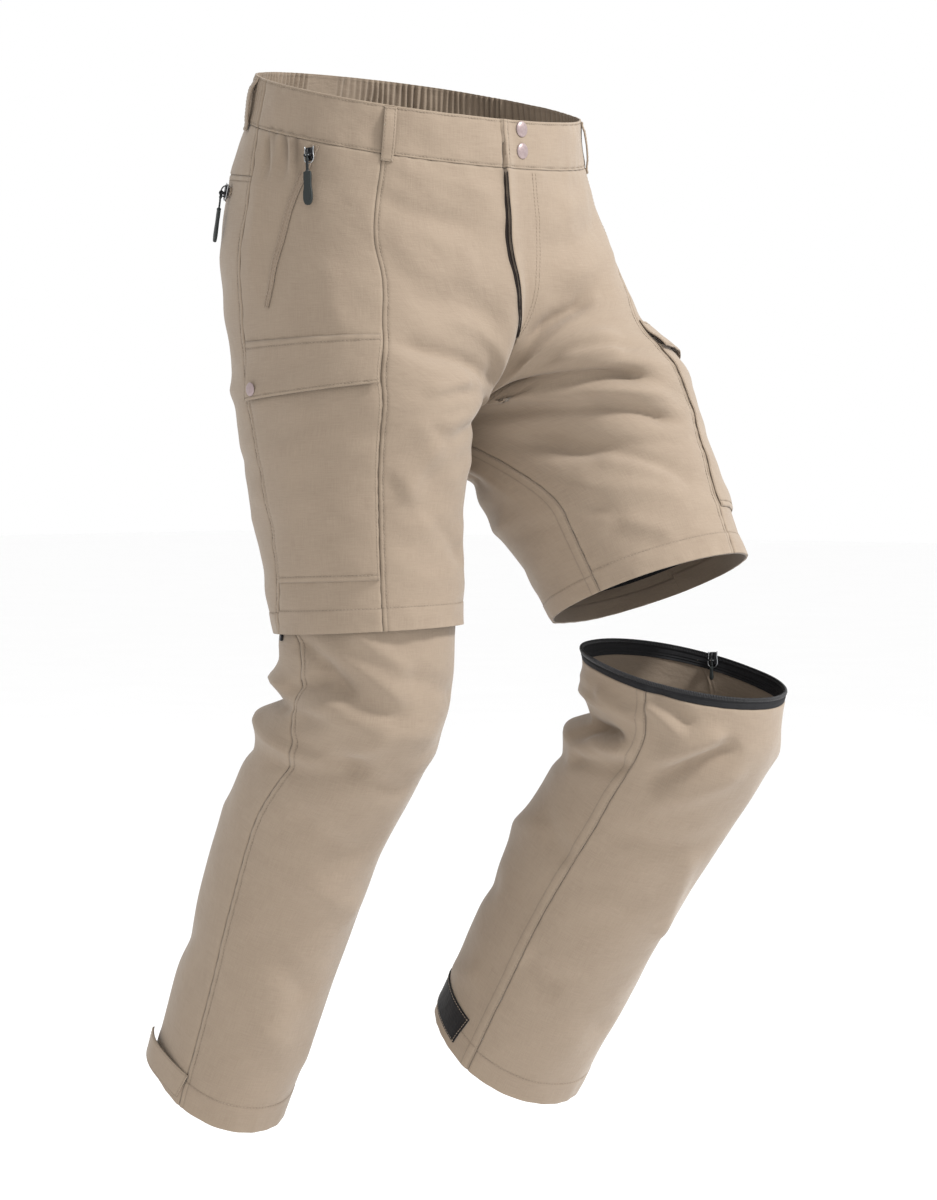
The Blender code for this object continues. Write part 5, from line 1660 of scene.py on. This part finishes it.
def plate(outline, low, high, soft, paint, name, frame, body, nodes=(), dish=0.0):
    """A flat shape with rounded rims. outline: (x, y) round it; soft: the rims' radius."""
    outline = np.array(outline, float)
    middle = outline.mean(0)
    tangent = np.roll(outline, -1, 0) - np.roll(outline, 1, 0)
    outward = np.stack([tangent[:, 1], -tangent[:, 0]], -1)
    outward /= np.linalg.norm(outward, axis=1, keepdims=True)
    if np.sum(outward * (outline - middle)) < 0:
        outward = -outward
    rings = []
    turns = (0.0, 0.3, 0.6, 0.85, 1.0)
    for t in turns:
        angle = t * pi / 2
        rings.append((soft * (1 - sin(angle)), low + soft * (1 - cos(angle))))
    for t in turns[::-1]:
        angle = t * pi / 2
        rings.append((soft * (1 - sin(angle)), high - soft * (1 - cos(angle))))
    points = []
    count = len(outline)
    for inset, height in rings:
        ring = outline - outward * inset
        points += [(x, y, height) for x, y in ring]
    faces = []
    for i in range(len(rings) - 1):
        for j in range(count):
            k = (j + 1) % count
            faces.append((i * count + j, i * count + k, (i + 1) * count + k, (i + 1) * count + j))
    for ring, height, flip in ((0, low, True), (len(rings) - 1, high, False)):
        base = ring * count
        previous = [base + j for j in range(count)]
        for share in (0.86, 0.5):
            start = len(points)
            drop = (1 - share) * dish * (1 if flip else -1)
            for j in range(count):
                x, y, _ = points[base + j]
                spot = middle + (np.array((x, y)) - middle) * share
                points.append((spot[0], spot[1], height + drop))
            for j in range(count):
                k = (j + 1) % count
                quad = (previous[j], previous[k], start + k, start + j)
                faces.append(quad[::-1] if flip else quad)
            previous = list(range(start, start + count))
        centre = len(points)
        points.append((middle[0], middle[1], height + dish * 0.6 * (1 if flip else -1)))
        for j in range(count):
            tri = (previous[j], previous[(j + 1) % count], centre)
            faces.append(tri[::-1] if flip else tri)
    return new_piece(name, placed(points, frame).tolist(), faces, paint, body, nodes)


def wire(name, path, radius, paint, frame, body, nodes=(), closed=False, sides=12, end_size=0.6):
    """A round wire along a path of points in millimetres."""
    path = np.array(path, float)
    if closed:
        ahead = np.roll(path, -1, 0) - np.roll(path, 1, 0)
    else:
        ahead = np.gradient(path, axis=0)
    ahead /= np.linalg.norm(ahead, axis=1, keepdims=True)
    side = np.cross(ahead[0], (0.12, 0.31, 0.94))
    points = []
    for i, (spot, way) in enumerate(zip(path, ahead)):
        side = side - way * (side @ way)
        side = side / np.linalg.norm(side)
        up = np.cross(way, side)
        size = radius * (end_size if not closed and i in (0, len(path) - 1) else 1.0)
        for j in range(sides):
            angle = 2 * pi * j / sides
            points.append(spot + size * (cos(angle) * side + sin(angle) * up))
    faces = []
    rings = len(path)
    for i in range(rings if closed else rings - 1):
        for j in range(sides):
            k = (j + 1) % sides
            low = i * sides
            high = (i + 1) % rings * sides
            faces.append((low + j, low + k, high + k, high + j))
    if not closed:
        faces.append(tuple(reversed(range(sides))))
        faces.append(tuple(range((rings - 1) * sides, rings * sides)))
    return new_piece(name, placed(points, frame).tolist(), faces, paint, body, nodes)


def bow(points, cells=8):
    """A smooth path through a few points."""
    table = [(k, *point) for k, point in enumerate(points)]
    at = np.linspace(0, len(points) - 1, (len(points) - 1) * cells + 1)
    return np.stack([read(table, k, at) for k in range(1, 4)], -1)


def rounded(corners, radius, steps=5):
    """A closed outline with rounded corners; radius: one value, or one for each corner."""
    corners = np.array(corners, float)
    radius = np.zeros(len(corners)) + radius
    outline = []
    for i, corner in enumerate(corners):
        before = corners[i - 1] - corner
        after = corners[(i + 1) % len(corners)] - corner
        before /= np.linalg.norm(before)
        after /= np.linalg.norm(after)
        for t in np.linspace(0, 1, steps):
            weight = radius[i]
            outline.append(corner + before * weight * (1 - t) ** 2 + after * weight * t**2)
    return outline


SNAP_CAP = (
    (0, 2.30), (1.6, 2.27), (3.2, 2.14), (4.6, 1.90), (5.7, 1.58), (6.5, 1.16), (7.05, 0.72),
    (7.35, 0.35), (7.4, 0.12), (7.25, 0.0), (0, 0.0),
)
SNAP_RING = ((0, 0.35), (7.7, 0.35), (8.05, 0.25), (8.2, 0.1), (8.2, 0.0), (0, 0.0))


def snaps():
    for name, v in WAIST_SNAPS:
        point, out, down = TRUNK.frame(WAIST_SNAP_ROUND, v, CLOTH / 2 + SEAM_GAP)
        frame = standing(point, out, down)
        lathe("cap_" + name, SNAP_CAP, frame, SNAP, "garment", [name])
    for side in SIGN:
        share, v = FLAP_SNAP
        front = seam_line(FRONT_SEAM, side)(np.array([v]))[0]
        back = seam_line(BACK_SEAM, side)(np.array([v]))[0]
        s = front + (back - front) * share
        point, out, down = SIDE_TRUNK[side].frame(s, v, FLAP_SNAP_LIFT)
        frame = standing(point, out, down)
        small = [(r * FLAP_SNAP_SIZE, h * FLAP_SNAP_SIZE) for r, h in SNAP_CAP]
        lathe("cap_flap_snap_" + side, small, frame, SNAP, "garment", ["flap_snap_" + side])


def standing(point, out, down):
    """A frame on the cloth: Z out of it, Y up it, X across."""
    across = out.cross(down).normalized()
    turn = Matrix((across, -down, out)).transposed().to_4x4()
    return Matrix.Translation(point) @ turn


SLIDER_OUTLINE = ((-3.9, 6.3), (3.9, 6.3), (3.3, 0.5), (3.7, -6.3), (-3.7, -6.3), (-3.3, 0.5))
PIN_HEIGHT = 5.9
PIN_Y = -2.0


def slider(name, frame, node):
    outline = rounded(SLIDER_OUTLINE, (1.6, 1.6, 0.8, 1.2, 1.2, 0.8))
    plate(outline, 0.05, 1.25, 0.45, SLIDER, name + "_base", frame, "garment", [node])
    upper = rounded([(0.86 * x, 0.92 * y) for x, y in SLIDER_OUTLINE], (1.4, 1.4, 0.8, 1.1, 1.1, 0.8))
    plate(upper, 1.15, 3.05, 0.7, SLIDER, name + "_top", frame, "garment", dish=0.2)
    bridge = bow(((0, 5.0, 2.8), (0, 4.2, 4.6), (0, 1.0, 6.4), (0, -2.0, 6.85), (0, -4.6, 5.2), (0, -5.2, 2.8)))
    wire(name + "_bridge", bridge * (1, 1, 0.96), 0.62, SLIDER, frame, "garment")
    for end in (-1, 1):
        post = rounded([(x + end * 2.75, y) for x, y in ((-0.5, -0.9), (0.5, -0.9), (0.5, -3.1), (-0.5, -3.1))], 0.3)
        plate(post, 2.7, 6.6, 0.3, SLIDER, name + "_post" + ("_a" if end < 0 else "_b"), frame, "garment")
    pin = [(x, PIN_Y, PIN_HEIGHT) for x in (-3.1, -1.0, 1.0, 3.1)]
    wire(name + "_pin", pin, 0.62, BRIGHT, frame, "garment")
    loop = bow(
        ((-4.3, 7.2, 1.4), (-4.0, 2.0, 1.6), (-4.5, -4.0, 1.7), (-3.2, -7.3, 1.8), (0, -8.6, 1.8))
        + ((3.2, -7.3, 1.8), (4.5, -4.0, 1.7), (4.0, 2.0, 1.6), (4.3, 7.2, 1.4))
    )
    wire(name + "_loop", loop, 0.55, BRIGHT, frame, "garment")


GRIP_OUTLINE = (
    (-3.7, -15.2), (3.7, -15.2), (3.9, -21.0), (3.5, -27.0), (4.5, -35.0),
    (4.7, -41.0), (2.6, -46.0), (-2.6, -46.0), (-4.7, -41.0), (-4.5, -35.0), (-3.5, -27.0), (-3.9, -21.0),
)
GRIP_ROUNDS = (1.0, 1.0, 1.5, 2.5, 2.0, 2.2, 2.0, 2.0, 2.2, 2.0, 2.5, 1.5)


def pull(name, pin, size=1.0):
    """A cord through the slider's bridge, with its moulded grip, turning on the pin."""
    eye = [(0.35 * sin(t), 1.65 * cos(t), 1.65 * sin(t)) for t in np.linspace(0, 2 * pi, 28)[:-1]]
    wire(name + "_eye", eye, 0.62, CORD, pin, name, [name], closed=True)
    top = 16.4 * size
    for side in (-1, 1):
        cord = bow(
            ((side * 0.3, -1.3, 0.9 * side), (side * 0.65, -3.6, 0.3), (side * 0.62, -0.6 * top, 0.0),
             (side * 0.6, -top, 0.0))
        )
        wire(name + ("_cord_a" if side < 0 else "_cord_b"), cord, 0.75, CORD, pin, name, sides=10)
    knot = [(0, -3.6 + 1.0 * t, 0) for t in (-1.6, -0.8, 0.0, 0.8)]
    wire(name + "_knot", knot, 1.45, CORD, pin, name, end_size=0.7)
    outline = rounded([(x * size, y * size) for x, y in GRIP_OUTLINE], np.array(GRIP_ROUNDS) * size)
    plate(outline, -1.3, 1.3, 0.75, GRIP, name + "_grip", pin, name, dish=0.25)
    for face in (-1, 1):
        inset = rounded([(x * 0.62 * size, (y + 30) * 0.74 * size - 30 * size) for x, y in GRIP_OUTLINE], 0.8 * size)
        low, high = (1.0, 1.42) if face > 0 else (-1.42, -1.0)
        plate(inset, low, high, 0.2, GRIP, name + ("_panel_a" if face > 0 else "_panel_b"), pin, name)
    collar = [(0, -14.0 * size - t, 0) for t in (0, 0.8 * size, 1.6 * size, 2.6 * size)]
    wire(name + "_collar", collar, 1.7 * size + 0.35, GRIP, pin, name)


def hung_pull(name, point, out, down, tilt):
    base = standing(point, out, down) @ Matrix.Rotation(tilt, 4, "Z")
    slider("body_slider_" + name, base, "slider_" + name)
    pin = base @ Matrix.Translation(Vector((0, PIN_Y, PIN_HEIGHT)) * MM)
    pull("pull_" + name, pin @ Matrix.Rotation(-PULL_STANDS, 4, "X"))


def zip_pulls():
    lift = CLOTH / 2 + LAID_ON + WELT_THICK + 2 * SEAM_GAP
    (u0, v0), (u1, v1) = SLANT_TOP, SLANT_FOOT
    for side in SIGN:
        share = SLANT_SLIDER_SHARE
        place = SIGN[side] * (u0 + (u1 - u0) * share), v0 + (v1 - v0) * share
        hung_pull(side, *SIDE_TRUNK[side].frame(*place, lift), -SIGN[side] * PULL_TILT)
    hung_pull("back", *SIDE_TRUNK["right"].frame(*BACK_SLIDER_PLACE, lift), BACK_PULL_TILT)
    point, out, down = SHIN["left"].frame(*LEG_SLIDER_PLACE, -LEG_SLIDER_IN)
    base = standing(point, -out, down)
    slider("body_leg_slider_left", base, "leg_slider_left")
    pin = base @ Matrix.Translation(Vector((0, PIN_Y, PIN_HEIGHT)) * MM)
    pull("leg_pull_left", pin, LEG_PULL_SIZE)
    u, v = ZIP_END_PLACE
    point, out, down = SHIN["right"].frame(-u, v, CLOTH / 2 + 2 * SEAM_GAP)
    frame = standing(point, out, down)
    outline = rounded(((-2.5, 3.0), (2.5, 3.0), (2.2, -3.0), (-2.2, -3.0)), 0.8)
    plate(outline, 0.05, 2.3, 0.6, SLIDER, "end_leg_slider_right", frame, "garment", ["leg_slider_right"])


# The fly's stitching: two lines down from the band that turn in to the fly's end.
FLY_STITCH = ((0.012, 0.024), (0.30, 0.029), (0.45, 0.026), (0.54, 0.017), (0.585, 0.004))
FLY_STITCH_APART = 0.007


def fly_stitching():
    for shift in (0.0, FLY_STITCH_APART):
        v = np.linspace(FLY_STITCH[0][0], FLY_STITCH[-1][0] - shift, 160)
        rows = [(along, place - shift) for along, place in FLY_STITCH]
        s = np.array(read(rows, 1, v))
        stitch_run(SIDE_TRUNK["left"], np.maximum(s, 0.004), v, np.full_like(v, CLOTH / 2 + 0.05))


# A near-black cloth strip lying under the left front's edge where it gapes: painted shadow filling the fly's slit.
FLY_SHADOW_ROWS = (0.015, 0.585)
FLY_SHADOW_WIDE = 0.0066


def fly_facing():
    def place(a, b):
        v = FLY_SHADOW_ROWS[0] + (FLY_SHADOW_ROWS[1] - FLY_SHADOW_ROWS[0]) * b
        wide = FLY_SHADOW_WIDE * (0.25 + 0.75 * np.sin(pi * np.clip(b, 0, 1)) ** 0.8)
        return fly_line(v) - wide * (1 - a), v

    cloth_piece(
        "fly_facing",
        TRUNK,
        place,
        ("bare", "bare", "bare", "bare"),
        None,
        paint=FLY_SHADOW_CLOTH,
        low=CLOTH / 2 + 0.15,
        thick=0.5,
        gap=0,
        step=1.5,
        down_step=4.0,
    )


def inner_tape():
    """The loose leg's tape goes on down the inside of its cloth."""
    cloth_piece(
        "tape_leg_inside_left",
        SHIN["left"],
        ring_place(1, *INNER_TAPE_ROWS),
        ("bare", "bare", "bare", "bare"),
        None,
        paint=TAPE,
        slot="zip_tape",
        low=-CLOTH / 2 - INSIDE_TAPE_LIFT,
        thick=0.6,
        relief=tape_lines,
        ring=True,
        step=3.0,
        down_step=0.6,
        gap=0,
    )


INNER_TAPE_ROWS = (0.029, 0.050)
INSIDE_TAPE_LIFT = 0.75


for side in SIGN:
    panels(side)
    lower_legs(side)
    cargo_pockets(side)
    hem_trims(side)
waistband()
belt_loops()
pocket_welts()
leg_zips()
inner_tape()
fly_facing()
snaps()
zip_pulls()
fly_stitching()
finish_stitches()

# The camera, set by the photo: 48 degrees round to the wearer's right, 2 degrees up.
PHOTO = (937, 1200)
AZIMUTH = radians(-48)
ELEVATION = radians(2)
DISTANCE = 4.3
PIXEL = 0.93e-3
WAIST_PIXEL = (420, 97)


def camera():
    back = Vector((sin(AZIMUTH) * cos(ELEVATION), -cos(AZIMUTH) * cos(ELEVATION), sin(ELEVATION)))
    right = Vector((cos(AZIMUTH), sin(AZIMUTH), 0))
    up = back.cross(right)
    across = PHOTO[0] / 2 - WAIST_PIXEL[0]
    down = PHOTO[1] / 2 - WAIST_PIXEL[1]
    target = right * across * PIXEL - up * down * PIXEL
    data = bpy.data.cameras.new("photo_camera")
    data.sensor_fit = "VERTICAL"
    data.sensor_height = 36
    data.lens = DISTANCE / PIXEL / PHOTO[1] * 36
    data.clip_end = 50
    view = bpy.data.objects.new("photo_camera", data)
    bpy.context.scene.collection.objects.link(view)
    turn = Matrix((right, up, back)).transposed().to_4x4()
    view.matrix_world = Matrix.Translation(target + back * DISTANCE) @ turn
    bpy.context.scene.camera = view


camera()

# Lights: name, place, aim, size in metres, watts.
LIGHTS = (
    ("key", (1.2, -2.8, 2.8), (0, 0, -0.4), 0.7, 225),
    ("fill", (-2.6, -2.2, 0.9), (0, 0, -0.5), 2.0, 6),
)
FLOOR_DROP = 0.28
FLOOR_REACH = 30


def floor():
    """A plain pale floor some way below the hems."""
    z = CAD_BOX[0][2] - FLOOR_DROP
    mesh = bpy.data.meshes.new("floor")
    reach = FLOOR_REACH
    corners = [(-reach, -reach, z), (reach, -reach, z), (reach, reach, z), (-reach, reach, z)]
    mesh.from_pydata(corners, [], [(0, 1, 2, 3)])
    n = Nodes("floor_white")
    where = n.add("TexCoord").outputs["Object"]
    tone = n.mix(n.noise(where, 3.0), rgb(251, 251, 251), rgb(254, 254, 254))
    n.plug(n.shader.inputs["Base Color"], tone)
    n.shader.inputs["Roughness"].default_value = 0.9
    mesh.materials.append(n.material)
    plane = bpy.data.objects.new("floor", mesh)
    bpy.context.scene.collection.objects.link(plane)


floor()


def lights():
    world = bpy.data.worlds.new("studio")
    world.use_nodes = True
    tree = world.node_tree
    sky = tree.nodes["Background"]
    sky.inputs["Color"].default_value = (1.0, 1.0, 1.0, 1.0)
    sky.inputs["Strength"].default_value = 1.0
    bpy.context.scene.world = world
    for name, place, aim, size, watts in LIGHTS:
        data = bpy.data.lights.new(name, "AREA")
        data.energy = watts
        data.size = size
        lamp = bpy.data.objects.new(name, data)
        bpy.context.scene.collection.objects.link(lamp)
        way = Vector(aim) - Vector(place)
        lamp.matrix_world = Matrix.Translation(place) @ way.to_track_quat("-Z", "Y").to_matrix().to_4x4()


lights()
bpy.context.scene.view_settings.view_transform = "Standard"
